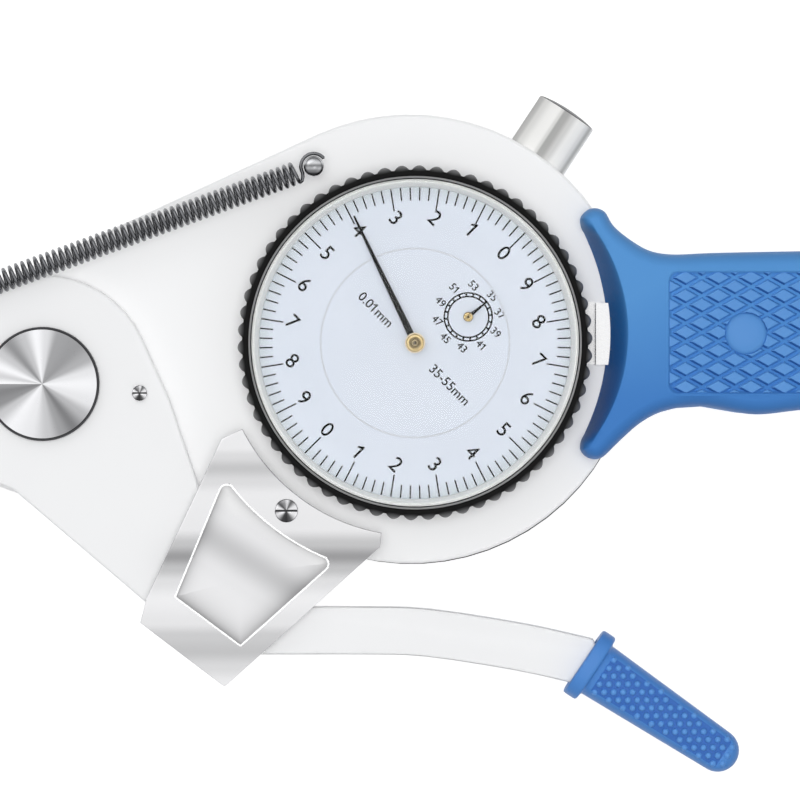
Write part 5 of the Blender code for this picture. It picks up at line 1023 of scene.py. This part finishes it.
# Painted reflections: the guard's chrome carries light and dark bands painted across its colour.
guard_chrome = finish("guard_chrome", (254, 254, 254), (248, 248, 249), 0.22, 0.05, metallic=1.0, bump=0.03)
GUARD_HIGH_Y = -15.0
GUARD_SPAN = 42.0
GUARD_REFLECTION_BANDS = ((-17.0, 240), (-18.5, 224), (-20.5, 202), (-22.6, 224), (-24.9, 240), (-30.2, 238), (-32.8, 200),
               (-34.9, 160), (-36.9, 198), (-39.0, 228), (-41.9, 243), (-45.7, 234), (-47.8, 208), (-50.4, 199),
               (-53.0, 222), (-55.6, 240))
bands(guard_chrome, "LINEAR", (0.0, GUARD_HIGH_Y * MM, 0.0), -90.0, GUARD_SPAN * MM,
      [((GUARD_HIGH_Y - y) / GUARD_SPAN, grey) for y, grey in GUARD_REFLECTION_BANDS])
window_arc = arc((0.0, 0.0), 38.0 * MM, 249.9, 215.2, 16)
window_corners = window_arc + [(-39.2 * MM, -41.5 * MM), (-28.5 * MM, -49.5 * MM)]
window_radii = [1.2 * MM] + [0.0] * (len(window_arc) - 2) + [1.2 * MM, 0.3 * MM, 0.3 * MM]
window = with_round_corners(window_corners, window_radii)


def inset(outline, gap):
    """Outline moved inwards by a small gap."""
    ring = np.array(outline)
    before = ring - np.roll(ring, 1, axis=0)
    after = np.roll(ring, -1, axis=0) - ring
    before /= np.linalg.norm(before, axis=1)[:, None]
    after /= np.linalg.norm(after, axis=1)[:, None]
    ways = np.column_stack([-before[:, 1] - after[:, 1], before[:, 0] + after[:, 0]])
    ways /= np.maximum(np.linalg.norm(ways, axis=1), 1e-9)[:, None]
    lean = np.maximum((ways * np.column_stack([-before[:, 1], before[:, 0]])).sum(axis=1), 0.35)
    return [tuple(spot) for spot in ring + ways * (gap / lean)[:, None]]


def within(spot, loop):
    """Whether a point lies inside a loop of vertices."""
    inside = False
    for a, b in zip(loop[-1:] + loop[:-1], loop):
        if (a.co.y > spot.y) != (b.co.y > spot.y):
            if spot.x < (b.co.x - a.co.x) * (spot.y - a.co.y) / (b.co.y - a.co.y) + a.co.x:
                inside = not inside
    return inside


def fill_flat(shell, outer, *holes):
    """Flat surface inside one loop of vertices and outside the others."""
    corners, edges = [], []
    for loop in (outer, *holes):
        edges += [(len(corners) + (i - 1) % len(loop), len(corners) + i) for i in range(len(loop))]
        corners += loop
    spots, _, faces, origins, _, _ = delaunay_2d_cdt([vert.co.xy / MM for vert in corners], edges, [], 1, 1e-5)
    verts = []
    for spot, origin in zip(spots, origins):
        if origin:
            verts.append(corners[origin[0]])
        else:
            near = min(corners, key=lambda vert: (vert.co.xy / MM - spot).length)
            verts.append(shell.verts.new((spot.x * MM, spot.y * MM, near.co.z), near))
    for face in faces:
        ends = [verts[k] for k in face]
        centre = sum((vert.co for vert in ends), Vector()) / len(ends)
        if len(set(ends)) == 3 and shell.faces.get(ends) is None and not any(within(centre, hole) for hole in holes):
            shell.faces.new(ends)


def make_guard():
    """Cover plate with a sunk window, and the foot it stands on."""
    edge = arc((0.0, 0.0), 31.5 * MM, 260.0, 206.5, 44)
    corners = in_mm((-31.1, -56.2), (-5.7, -33.3)) + edge + in_mm((-31.6, -15.7), (-43.8, -41.6), (-44.9, -45.7))
    radii = [0.6 * MM, 0.6 * MM] + [0.0] * len(edge) + [0.3 * MM, 0.0, 0.0]
    outline = with_round_corners(corners, radii)
    shell = bmesh.new()
    outside = [loop_at(shell, inset(outline, gap * MM), height * MM)
               for gap, height in ((0.1, 16.8), (0.0, 16.9), (0.0, 19.08), (0.03, 19.16), (0.11, 19.2), (0.22, 19.2))]
    walls(shell, outside)
    fill_flat(shell, outside[0])
    sunk = [loop_at(shell, inset(window, gap * MM), height * MM)
            for gap, height in ((-0.12, 19.2), (0.0, 19.2), (0.05, 18.2), (0.15, 18.2))]
    walls(shell, sunk)
    fill_flat(shell, outside[-1], sunk[0])
    fill_flat(shell, sunk[-1])
    foot = (arc((0.0, 0.0), 31.8 * MM, 244.0, 217.5, 12) + arc((0.0, 0.0), 36.3 * MM, 217.5, 244.0, 12))[::-1]
    post = [loop_at(shell, foot, 12.3 * MM), loop_at(shell, foot, 17.2 * MM)]
    walls(shell, post)
    fill_flat(shell, post[0])
    fill_flat(shell, post[1])
    bmesh.ops.recalc_face_normals(shell, faces=shell.faces)
    return new_piece("guard_finished", shell, guard_chrome)


fit(break_edges(make_guard(), 0.0), "body", "chrome", "guard_cover")
# Painted highlight: a thin white wire that glows runs round the window's edge.
window_highlight_paint = finish("window_edge", (254, 254, 254), (250, 250, 250), 0.4, 0.05, bump=0.03, glow=0.3)
highlight_path = [(x, y, 19.16 * MM) for x, y in window]
highlight_wire = make_wire("window_highlight_line", highlight_path + highlight_path[:2], 0.16 * MM, 8, window_highlight_paint)
highlight_wire.data.shade_smooth()
fit(highlight_wire, "body", "chrome")
# Painted reflection: a soft dark band runs diagonally across the window floor.
pressed_chrome = finish("pressed_chrome", (242, 242, 242), (238, 238, 239), 0.30, 0.05, metallic=1.0, bump=0.03)
bands(pressed_chrome, "LINEAR", (-30.6 * MM, -41.3 * MM, 0.0), 57.7, 13.4 * MM,
      ((0.0, 250), (0.18, 246), (0.50, 212), (0.80, 246), (1.0, 250)))


def make_window_pan():
    """Pressed floor of the window, dished up to its edge, with painted shade along the edge, darkest on its lower side.
    """
    floor, rise, rise_width = 18.22 * MM, 0.12 * MM, 1.8 * MM
    facet, shade_width, shade_depth = 0.55 * MM, 0.7 * MM, 0.36
    border = np.array(window)
    along = np.roll(border, -1, axis=0) - border

    def way_out(vert):
        """Direction and length of the shortest way from a vertex to the window's edge."""
        spot = np.array(vert.co[:2])
        share = np.clip(((spot - border) * along).sum(axis=1) / (along ** 2).sum(axis=1), 0, 1)
        ways = border + along * share[:, None] - spot
        gaps = np.linalg.norm(ways, axis=1)
        nearest = gaps.argmin()
        return ways[nearest] / max(gaps[nearest], 1e-9), gaps[nearest]

    shell = bmesh.new()
    shell.faces.new([shell.verts.new((x, y, 0.0)) for x, y in window])
    bmesh.ops.triangulate(shell, faces=shell.faces)
    for _ in range(5):
        bmesh.ops.subdivide_edges(shell, edges=[e for e in shell.edges if e.calc_length() > facet], cuts=1)
        bmesh.ops.triangulate(shell, faces=shell.faces)
    for vert in shell.verts:
        vert.co.z = floor + rise * max(1 - way_out(vert)[1] / rise_width, 0.0) ** 2
    bmesh.ops.recalc_face_normals(shell, faces=shell.faces)
    for face in shell.faces:
        if face.normal.z < 0:
            face.normal_flip()
    pan = new_piece("window_pan", shell, shade_by_edge(pressed_chrome))
    # Painted shade: the floor darkens near the window's edge, more on its lower side.
    tint = pan.data.attributes.new("painted_light", "FLOAT_COLOR", "POINT")
    for number, vert in enumerate(pan.data.vertices):
        way, gap = way_out(vert)
        low_side = 0.5 - 0.5 * way[1]
        value = 1.0 - shade_depth * (1 + low_side) * math.exp(-gap / (shade_width * (1 + low_side)))
        tint.data[number].color = (value, value, value, 1.0)
    pan.data.shade_smooth()
    return pan


fit(make_window_pan(), "body", "chrome")
GUARD_SCREW = (-21.0 * MM, -27.4 * MM)
guard_head, guard_slot = slotted_head("guard_screw_head", glinting("guard_screw_steel", GUARD_SCREW), GUARD_SCREW,
                                      1.9 * MM, 19.25 * MM, 20.1 * MM, 0.32 * MM, 0.4 * MM, 0.16 * MM)
fit(break_edges(guard_head, 0.03 * MM), "body", "polished_steel", "guard_screw")
fit(guard_slot, "body", "polished_steel")


# Handle
# Two moulded halves of blue plastic clamp the flat steel tang. The front half has horns round the
# bezel, a soft shoulder, and a sunk panel of raised diamonds with a domed boss over each screw.

AXIS_Y = 1.5 * MM
HANDLE_LOW, HANDLE_HIGH = 12.3 * MM, 22.0 * MM
handle_blue = finish("handle_blue", (84, 146, 212), (76, 137, 205), 0.46, 0.06, bump=0.10, patch=35.0,
                     grain=1600.0)
tang_steel = finish("tang_steel", (252, 252, 252), (246, 246, 247), 0.28, 0.06, metallic=1.0, grain=900.0,
                    brush=(1.0, 8.0, 1.0))
finer("handle_tang", 0.08 * MM, tang_steel, "body", "polished_steel")
tang_land = block("tang_land", in_mm((27.9, -3.48), (30.4, -3.48), (30.4, 6.78), (27.9, 6.78)), 12.0 * MM,
                  12.14 * MM, tang_steel)
fit(tang_land, "body", "polished_steel")
dress(zinc_screw, "handle_screw_1", "handle_screw_2", "tang_screw_1", "tang_screw_2")
finer("handle_back", 0.35 * MM, handle_blue, "body", "handle_blue")

GRIP_LEFT, GRIP_RIGHT = 27.2 * MM, 143.0 * MM
GRIP_SPAN, GRIP_WIDTH = 115.8 * MM, 26.0 * MM
HORN_X, HORN_REACH, HORN_RADIUS = 29.4 * MM, 18.1 * MM, 2.45 * MM
LOWER_SHARES = ((0.058, -0.658), (0.083, -0.562), (0.108, -0.50), (0.134, -0.469), (0.172, -0.458), (0.223, -0.497),
                (0.250, -0.508), (0.308, -0.481), (0.370, -0.458), (0.440, -0.502), (0.530, -0.470), (0.610, -0.502),
                (0.720, -0.462), (0.818, -0.490), (0.948, -0.346))
UPPER_SHARES = ((0.948, 0.346), (0.818, 0.492), (0.584, 0.531), (0.308, 0.519), (0.184, 0.508), (0.124, 0.50),
                (0.096, 0.523), (0.071, 0.585), (0.045, 0.681))


def smooth_round(points, step):
    """Closed smooth line through the points, resampled at an even step."""
    ring = np.array(points)
    gaps = np.linalg.norm(np.roll(ring, -1, axis=0) - ring, axis=1)
    ring = ring[gaps > 0.05 * MM]
    line = []
    for i in range(len(ring)):
        p0, p1, p2, p3 = (ring[(i + k) % len(ring)] for k in (-1, 0, 1, 2))
        t1 = np.linalg.norm(p1 - p0) ** 0.5
        t2 = t1 + np.linalg.norm(p2 - p1) ** 0.5
        t3 = t2 + np.linalg.norm(p3 - p2) ** 0.5
        for t in np.linspace(t1, t2, 12, endpoint=False):
            a1 = (t1 - t) / t1 * p0 + t / t1 * p1
            a2 = (t2 - t) / (t2 - t1) * p1 + (t - t1) / (t2 - t1) * p2
            a3 = (t3 - t) / (t3 - t2) * p2 + (t - t2) / (t3 - t2) * p3
            b1 = (t2 - t) / t2 * a1 + t / t2 * a2
            b2 = (t3 - t) / (t3 - t1) * a2 + (t - t1) / (t3 - t1) * a3
            line.append((t2 - t) / (t2 - t1) * b1 + (t - t1) / (t2 - t1) * b2)
    line = np.array(line)
    closed = np.vstack([line, line[:1]])
    run = np.concatenate([[0.0], np.cumsum(np.linalg.norm(np.diff(closed, axis=0), axis=1))])
    count = int(run[-1] / step)
    spots = np.linspace(0, run[-1], count, endpoint=False)
    return np.column_stack([np.interp(spots, run, closed[:, k]) for k in (0, 1)])


def even_out(values, width):
    """Running mean round a closed line."""
    kernel = np.hanning(2 * width + 3)[1:-1]
    kernel /= kernel.sum()
    wrapped = np.concatenate([values[-width:], values, values[:width]])
    return np.convolve(wrapped, kernel, mode="valid")


HOLLOW_CENTRE_X, HOLLOW_RADIUS = -5.6 * MM, 37.2 * MM
RIDGE_CENTRE_X, RIDGE_RADIUS = 5.8 * MM, 29.0 * MM
SHOULDER = 2.3 * MM
# Painted shade on the grip: its colour darkens toward the lower edge and on the hollow's wall.
SHADE_START, SHADE_SPAN = 7.0 * MM, 16.4 * MM
SHADE_SHARES = ((0.92, 0.40), (0.56, 0.30), (0.36, 0.15))
SHOULDER_ROWS = ((0.10, 0.0), (0.0, 0.04), (0.0, 0.50), (0.04, 0.64), (0.12, 0.75), (0.26, 0.85), (0.45, 0.925),
                 (0.68, 0.97), (0.86, 0.992), (1.0, 1.0))
HOLLOW_ROWS = ((0.0, 0.0), (0.04, 0.04), (0.18, 0.20), (0.34, 0.37), (0.50, 0.54), (0.66, 0.71), (0.80, 0.86),
               (0.91, 0.955), (0.965, 0.99), (1.0, 1.0))


def panel_outline(grow):
    """Rounded oblong of the sunk panel, grown or shrunk."""
    low_x, high_x = 41.3 * MM - grow, 129.7 * MM + grow
    low_y, high_y = -8.3 * MM - grow, 11.6 * MM + grow
    radius = 1.5 * MM + grow
    return with_round_corners([(low_x, low_y), (high_x, low_y), (high_x, high_y), (low_x, high_y)], [radius] * 4, 6)


def make_grip():
    """Front half as one shell: soft sides, the sloped hollow between the horns, and the sunk panel."""
    step, on_hollow, hollow_half, least_slope = 0.45 * MM, 0.12 * MM, 17.0 * MM, 0.8 * MM
    hollow = arc((HOLLOW_CENTRE_X, AXIS_Y), HOLLOW_RADIUS, 28.0, -28.0, 24)
    lower_horn = arc((HORN_X, AXIS_Y - HORN_REACH), HORN_RADIUS, 200.0, 315.0, 8)
    upper_horn = arc((HORN_X, AXIS_Y + HORN_REACH), HORN_RADIUS, 45.0, 160.0, 8)
    lower = [(GRIP_LEFT + GRIP_SPAN * a, AXIS_Y + GRIP_WIDTH * b) for a, b in LOWER_SHARES]
    upper = [(GRIP_LEFT + GRIP_SPAN * a, AXIS_Y + GRIP_WIDTH * b) for a, b in UPPER_SHARES]
    end = [(GRIP_RIGHT, AXIS_Y - GRIP_WIDTH * 0.16), (GRIP_RIGHT, AXIS_Y + GRIP_WIDTH * 0.16)]
    line = smooth_round(hollow + lower_horn + lower + end + upper + upper_horn, step)
    ahead = np.roll(line, -1, axis=0) - np.roll(line, 1, axis=0)
    ahead /= np.linalg.norm(ahead, axis=1)[:, None]
    inward = np.column_stack([-ahead[:, 1], ahead[:, 0]])

    # Radius of the largest circle inside the outline at each point, past which a shoulder would fold.
    offsets = line[None, :, :] - line[:, None, :]
    reach = (offsets * inward[:, None, :]).sum(axis=2)
    squares = (offsets ** 2).sum(axis=2)
    ball = np.where(reach > 1e-7, squares / np.maximum(2 * reach, 1e-7), 1.0).min(axis=1)

    # In the hollow the slope runs on as far as the ridge, elsewhere the shoulder is even.
    from_centre = np.hypot(line[:, 0] - HOLLOW_CENTRE_X, line[:, 1] - AXIS_Y)
    in_hollow = (np.abs(from_centre - HOLLOW_RADIUS) < on_hollow) & (np.abs(line[:, 1] - AXIS_Y) < hollow_half)
    toward = line - np.array([RIDGE_CENTRE_X, AXIS_Y])
    along = (toward * inward).sum(axis=1)
    short = RIDGE_RADIUS ** 2 - (toward ** 2).sum(axis=1)
    to_ridge = -along + np.sqrt(np.maximum(along ** 2 + short, 0.0))
    width = np.where(in_hollow, np.maximum(to_ridge, least_slope), SHOULDER)
    width = even_out(np.minimum(width, ball * 0.86), 4)
    width = np.minimum(width, ball * 0.9)
    slope = even_out(in_hollow.astype(float), 5)
    shell = bmesh.new()
    shade = shell.verts.layers.float_color.new("painted_light")

    def tint(y, depth=0.0):
        """Painted shade that darkens the grip toward its lower edge and into the hollow."""
        down = min(max((SHADE_START - y) / SHADE_SPAN, 0.0), 1.0)
        return tuple((1.0 - into * depth) * (1.0 - low * down) for into, low in SHADE_SHARES) + (1.0,)

    rings = []
    for (share_a, up_a), (share_b, up_b) in zip(SHOULDER_ROWS, HOLLOW_ROWS):
        ring = []
        for spot, way, wide, amount in zip(line, inward, width, slope):
            share = share_a + (share_b - share_a) * amount
            up = up_a + (up_b - up_a) * amount
            x, y = spot + way * wide * share
            vert = shell.verts.new((min(x, GRIP_RIGHT), y, HANDLE_LOW + (HANDLE_HIGH - HANDLE_LOW) * up))
            vert[shade] = tint(y, amount * (1.0 - share ** 6))
            ring.append(vert)
        rings.append(ring)
    walls(shell, rings)
    shell.faces.new(rings[0][::-1])
    panel_rings = []
    for grow, drop in ((0.45, 0.0), (0.30, -0.06), (0.10, -0.07), (-0.05, 0.05), (-0.25, 0.45), (-0.45, 0.65),
                       (-0.70, 0.70)):
        ring = loop_at(shell, panel_outline(grow * MM), HANDLE_HIGH - drop * MM)
        for vert in ring:
            vert[shade] = tint(vert.co.y)
        panel_rings.append(ring)
    walls(shell, panel_rings)
    shell.faces.new(panel_rings[-1])
    fill_flat(shell, rings[-1], panel_rings[0])
    bmesh.ops.recalc_face_normals(shell, faces=shell.faces)
    return new_piece("handle_front_finished", shell, grip_blue)


grip_blue = shade_by_edge(finish("grip_blue", (92, 154, 216), (84, 145, 208), 0.46, 0.06, bump=0.10,
                                 patch=35.0, grain=1600.0, specular=0.08))
fit(break_edges(make_grip(), 0.0), "body", "handle_blue", "handle_front")
BOSSES = ((53.9 * MM, AXIS_Y), (118.0 * MM, AXIS_Y))
PANEL_FLOOR = 21.3 * MM
boss_profile = in_mm((0.0, 21.0), (3.55, 21.0), (3.5, 21.32), (3.36, 21.6), (3.1, 21.84), (2.7, 21.98), (1.6, 22.07),
                     (0.0, 22.1))
for number, boss in enumerate(BOSSES):
    dome = turned(f"grip_boss_{number + 1}", boss_profile, 64, handle_blue, centre=boss)
    fit(break_edges(dome, 0.0), "body", "handle_blue")


def make_diamond_tree(material):
    """Two interleaved grids of low four-sided pads."""
    columns, rows = 19, 9
    tree = print_tree("diamond_field")
    given = named_inputs(tree, "Pitch Along", "Pitch Across", "Pad Share", "Pad Height")

    def pitches(along, across):
        """So many pitches along and across the grip."""
        return (worked_out(tree, "MULTIPLY", given["Pitch Along"], along),
                worked_out(tree, "MULTIPLY", given["Pitch Across"], across))

    pad = added(tree, "GeometryNodeMeshCone",
                {"Vertices": 4, "Radius Top": 0.70, "Radius Bottom": 1.0, "Depth": given["Pad Height"]})
    size = vector_of(tree, *pitches(given["Pad Share"], given["Pad Share"]), 1.0)
    joined = tree.nodes.new("GeometryNodeJoinGeometry")
    for shift in (0.0, 0.5):
        length, width = pitches(columns - 1.0, rows - 1.0)
        grid = added(tree, "GeometryNodeMeshGrid",
                     {"Vertices X": columns, "Vertices Y": rows, "Size X": length, "Size Y": width})
        moved = added(tree, "GeometryNodeTransform",
                      {"Geometry": grid.outputs["Mesh"], "Translation": vector_of(tree, *pitches(shift, shift))})
        tree.links.new(moved.outputs[0], joined.inputs[0])
    spread = added(tree, "GeometryNodeInstanceOnPoints",
                   {"Points": joined.outputs[0], "Instance": pad.outputs["Mesh"], "Scale": size})
    return made_real(tree, spread.outputs[0], material)


pad_painted_shade = finish("pad_painted_shade", (56, 108, 178), (50, 100, 168), 0.46, 0.06, bump=0.08, specular=0.1)
pad_painted_highlight = finish("pad_painted_highlight", (104, 164, 226), (98, 156, 220), 0.46, 0.06, bump=0.08, specular=0.1)
PITCH_ALONG, PITCH_ACROSS = 5.35 * MM, 2.98 * MM
FIRST_PAD = (49.4 * MM, -4.28 * MM)


def make_diamonds():
    """Field of pillowed diamonds, cut to the panel and round the bosses, with painted shade and highlight on their
    sides.
    """
    field = grown_by(make_diamond_tree(handle_blue), "grip_diamonds",
                     {"Pitch Along": PITCH_ALONG, "Pitch Across": PITCH_ACROSS, "Pad Share": 0.47,
                      "Pad Height": 0.9 * MM}, handle_blue)
    field.data.transform(Matrix.Translation((FIRST_PAD[0] + 6 * PITCH_ALONG, FIRST_PAD[1] + 2 * PITCH_ACROSS,
                                             PANEL_FLOOR - 0.3 * MM)))
    top, edge_gap, boss_room = HANDLE_HIGH + 1.0 * MM, 0.12 * MM, 3.4 * MM
    cut(field, "INTERSECT", block("panel_trim", panel_outline(-edge_gap), PANEL_FLOOR - 0.2 * MM, top))
    cut(field, "DIFFERENCE", *[block("boss_trim", arc(boss, boss_room, 0.0, 345.0, 23), PANEL_FLOOR - 1.0 * MM, top)
                               for boss in BOSSES])
    field = break_edges(field, 0.10 * MM, 20.0, 1)
    field.data.materials.clear()
    for material in (handle_blue, pad_painted_shade, pad_painted_highlight):
        field.data.materials.append(material)
    # Lit and shaded copies of the blue: side faces toward the lower left get painted shade, toward the upper left a
    # painted highlight.
    for face in field.data.polygons:
        way = face.normal
        face.material_index = 0 if way.z > 0.97 or way.x > 0 else 1 if way.y < 0 else 2
    return field


fit(make_diamonds(), "body", "handle_blue")


# Finger sleeve
# A moulded blue sleeve is pushed over the trigger's end. It has a collar, plain rails along its
# edges, and rows of raised dots between them on both faces.

sleeve_blue = finish("sleeve_blue", (76, 138, 210), (68, 128, 202), 0.44, 0.06, bump=0.10, patch=40.0,
                     grain=1600.0)
# Painted light on the sleeve: the sunk field between the rails is painted darker as painted shade, and the dots lighter
# as painted highlight.
pit_blue_painted_shade = finish("pit_blue_painted_shade", (50, 106, 184), (44, 98, 176), 0.50, 0.06, bump=0.06, patch=60.0)
dot_blue_painted_highlight = finish("dot_blue_painted_highlight", (88, 150, 220), (82, 142, 214), 0.40, 0.06, bump=0.06, patch=60.0)
SLEEVE_START = Vector((27.6 * MM, -52.1 * MM))
SLEEVE_TURN = math.radians(-33.7)
SLEEVE_ALONG = Vector((math.cos(SLEEVE_TURN), math.sin(SLEEVE_TURN)))
SLEEVE_ACROSS = Vector((-SLEEVE_ALONG.y, SLEEVE_ALONG.x))
SLEEVE_MIDDLE = 13.8 * MM
SLEEVE_LENGTH = 30.0 * MM
COLLAR_LENGTH = 2.4 * MM
HALF_WIDTH, HALF_HEIGHT = 4.65 * MM, 4.0 * MM
TAPER = 0.76
PIT_START, PIT_END = 3.2 * MM, 28.0 * MM
PIT_SHARE, PIT_DEPTH = 0.70, 0.28 * MM
SQUARE = 0.75


def sleeve_size(reach):
    """Half width and half height of the grip that far from the collar's mouth."""
    tip = SLEEVE_LENGTH - HALF_WIDTH * TAPER
    if reach > tip:
        left = math.sqrt(max(1.0 - ((reach - tip) / (SLEEVE_LENGTH - tip)) ** 2, 0.0))
        return HALF_WIDTH * TAPER * left, HALF_HEIGHT * TAPER * left ** 0.8
    share = 1.0 + (TAPER - 1.0) * (reach - COLLAR_LENGTH) / (tip - COLLAR_LENGTH)
    return HALF_WIDTH * share, HALF_HEIGHT * share


def make_sleeve():
    """Collar and tapered grip as one shell with softened steps."""
    collar = ((0.0, 5.75, 4.5), (0.12, 5.98, 4.7), (0.45, 6.05, 4.75), (1.95, 6.05, 4.75), (2.3, 5.98, 4.68),
              (2.45, 5.75, 4.5), (2.5, 5.0, 4.2))
    stations = [(a * MM, b * MM, c * MM) for a, b, c in collar]
    for reach in list(np.linspace(2.7, 26.3, 28)) + [26.9, 27.5, 28.1, 28.6, 29.05, 29.4, 29.7, 29.88, 29.97]:
        stations.append((reach * MM, *sleeve_size(reach * MM)))
    sides = 64
    shell = bmesh.new()
    rings = []
    for reach, wide, tall in stations:
        middle = SLEEVE_START + SLEEVE_ALONG * reach
        ring = []
        for i in range(sides):
            angle = 2 * math.pi * i / sides
            c, s = math.cos(angle), math.sin(angle)
            u = math.copysign(abs(c) ** SQUARE, c) * wide
            v = math.copysign(abs(s) ** SQUARE, s) * tall
            inner = abs(u) / wide
            if PIT_START < reach < PIT_END and inner < PIT_SHARE:
                v -= math.copysign(PIT_DEPTH * (1 - (inner / PIT_SHARE) ** 8), v)
            spot = middle + SLEEVE_ACROSS * u
            ring.append(shell.verts.new((spot.x, spot.y, SLEEVE_MIDDLE + v)))
        rings.append(ring)
    for low, high, near, far in zip(rings, rings[1:], stations, stations[1:]):
        for i in range(sides):
            face = shell.faces.new((low[i - 1], low[i], high[i], high[i - 1]))
            aside = max(abs(math.cos(2 * math.pi * (i - step) / sides)) for step in (0, 1)) ** SQUARE
            face.material_index = int(near[0] > PIT_START and far[0] < PIT_END and aside < 0.72)
    tip = SLEEVE_START + SLEEVE_ALONG * SLEEVE_LENGTH
    point = shell.verts.new((tip.x, tip.y, SLEEVE_MIDDLE))
    for i in range(sides):
        shell.faces.new((rings[-1][i - 1], rings[-1][i], point))
    shell.faces.new(rings[0])
    bmesh.ops.recalc_face_normals(shell, faces=shell.faces)
    return new_piece("sleeve_finished", shell, sleeve_blue)


sleeve = make_sleeve()
sleeve.data.materials.append(pit_blue_painted_shade)
mouth = Matrix.Translation((*SLEEVE_START, SLEEVE_MIDDLE)) @ Matrix.Rotation(SLEEVE_TURN, 4, "Z")
cut(sleeve, "DIFFERENCE", cutting_box(mouth @ Matrix.Diagonal((3.9 * MM, 8.3 * MM, 3.5 * MM, 1.0))))
fit(break_edges(sleeve, 0.0), "lever", "sleeve_blue", "trigger_sleeve")


def make_dot_tree(material):
    """Low dome on every point of the carried mesh."""
    tree = print_tree("grip_dots")
    tree.interface.new_socket("Points", in_out="INPUT", socket_type="NodeSocketGeometry")
    given = named_inputs(tree, "Dot Radius", "Flatness")
    dot = added(tree, "GeometryNodeMeshUVSphere", {"Segments": 10, "Rings": 6, "Radius": given["Dot Radius"]})
    smooth = added(tree, "GeometryNodeSetShadeSmooth", {"Geometry": dot.outputs["Mesh"]})
    spread = added(tree, "GeometryNodeInstanceOnPoints",
                   {"Points": given["Points"], "Instance": smooth.outputs[0],
                    "Scale": vector_of(tree, 1.0, 1.0, given["Flatness"])})
    return made_real(tree, spread.outputs[0], material)


def make_dots():
    """Staggered dots between the rails, sunk halfway into both faces of the sleeve."""
    pitch, row_gap, sunk = 1.55 * MM, 1.30 * MM, 0.20 * MM
    middle = Vector((41.0 * MM, -61.0 * MM))
    spots = []
    for row in range(-30, 30):
        for column in range(-30, 30):
            spot = middle + Vector((pitch * (column + 0.5 * (row % 2)), row_gap * row))
            along = (spot - SLEEVE_START).dot(SLEEVE_ALONG)
            across = (spot - SLEEVE_START).dot(SLEEVE_ACROSS)
            wide, tall = sleeve_size(along)
            if 3.5 * MM < along < 28.2 * MM and abs(across) <= PIT_SHARE * wide:
                up = tall * (1 - abs(across / wide) ** (2 / SQUARE)) ** (SQUARE / 2) - sunk
                spots += [(*spot, SLEEVE_MIDDLE + up), (*spot, SLEEVE_MIDDLE - up)]
    sizes = {"Dot Radius": 0.56 * MM, "Flatness": 0.62}
    return grown_by(make_dot_tree(dot_blue_painted_highlight), "sleeve_dots", sizes, dot_blue_painted_highlight, spots)


fit(make_dots(), "lever", "sleeve_blue")
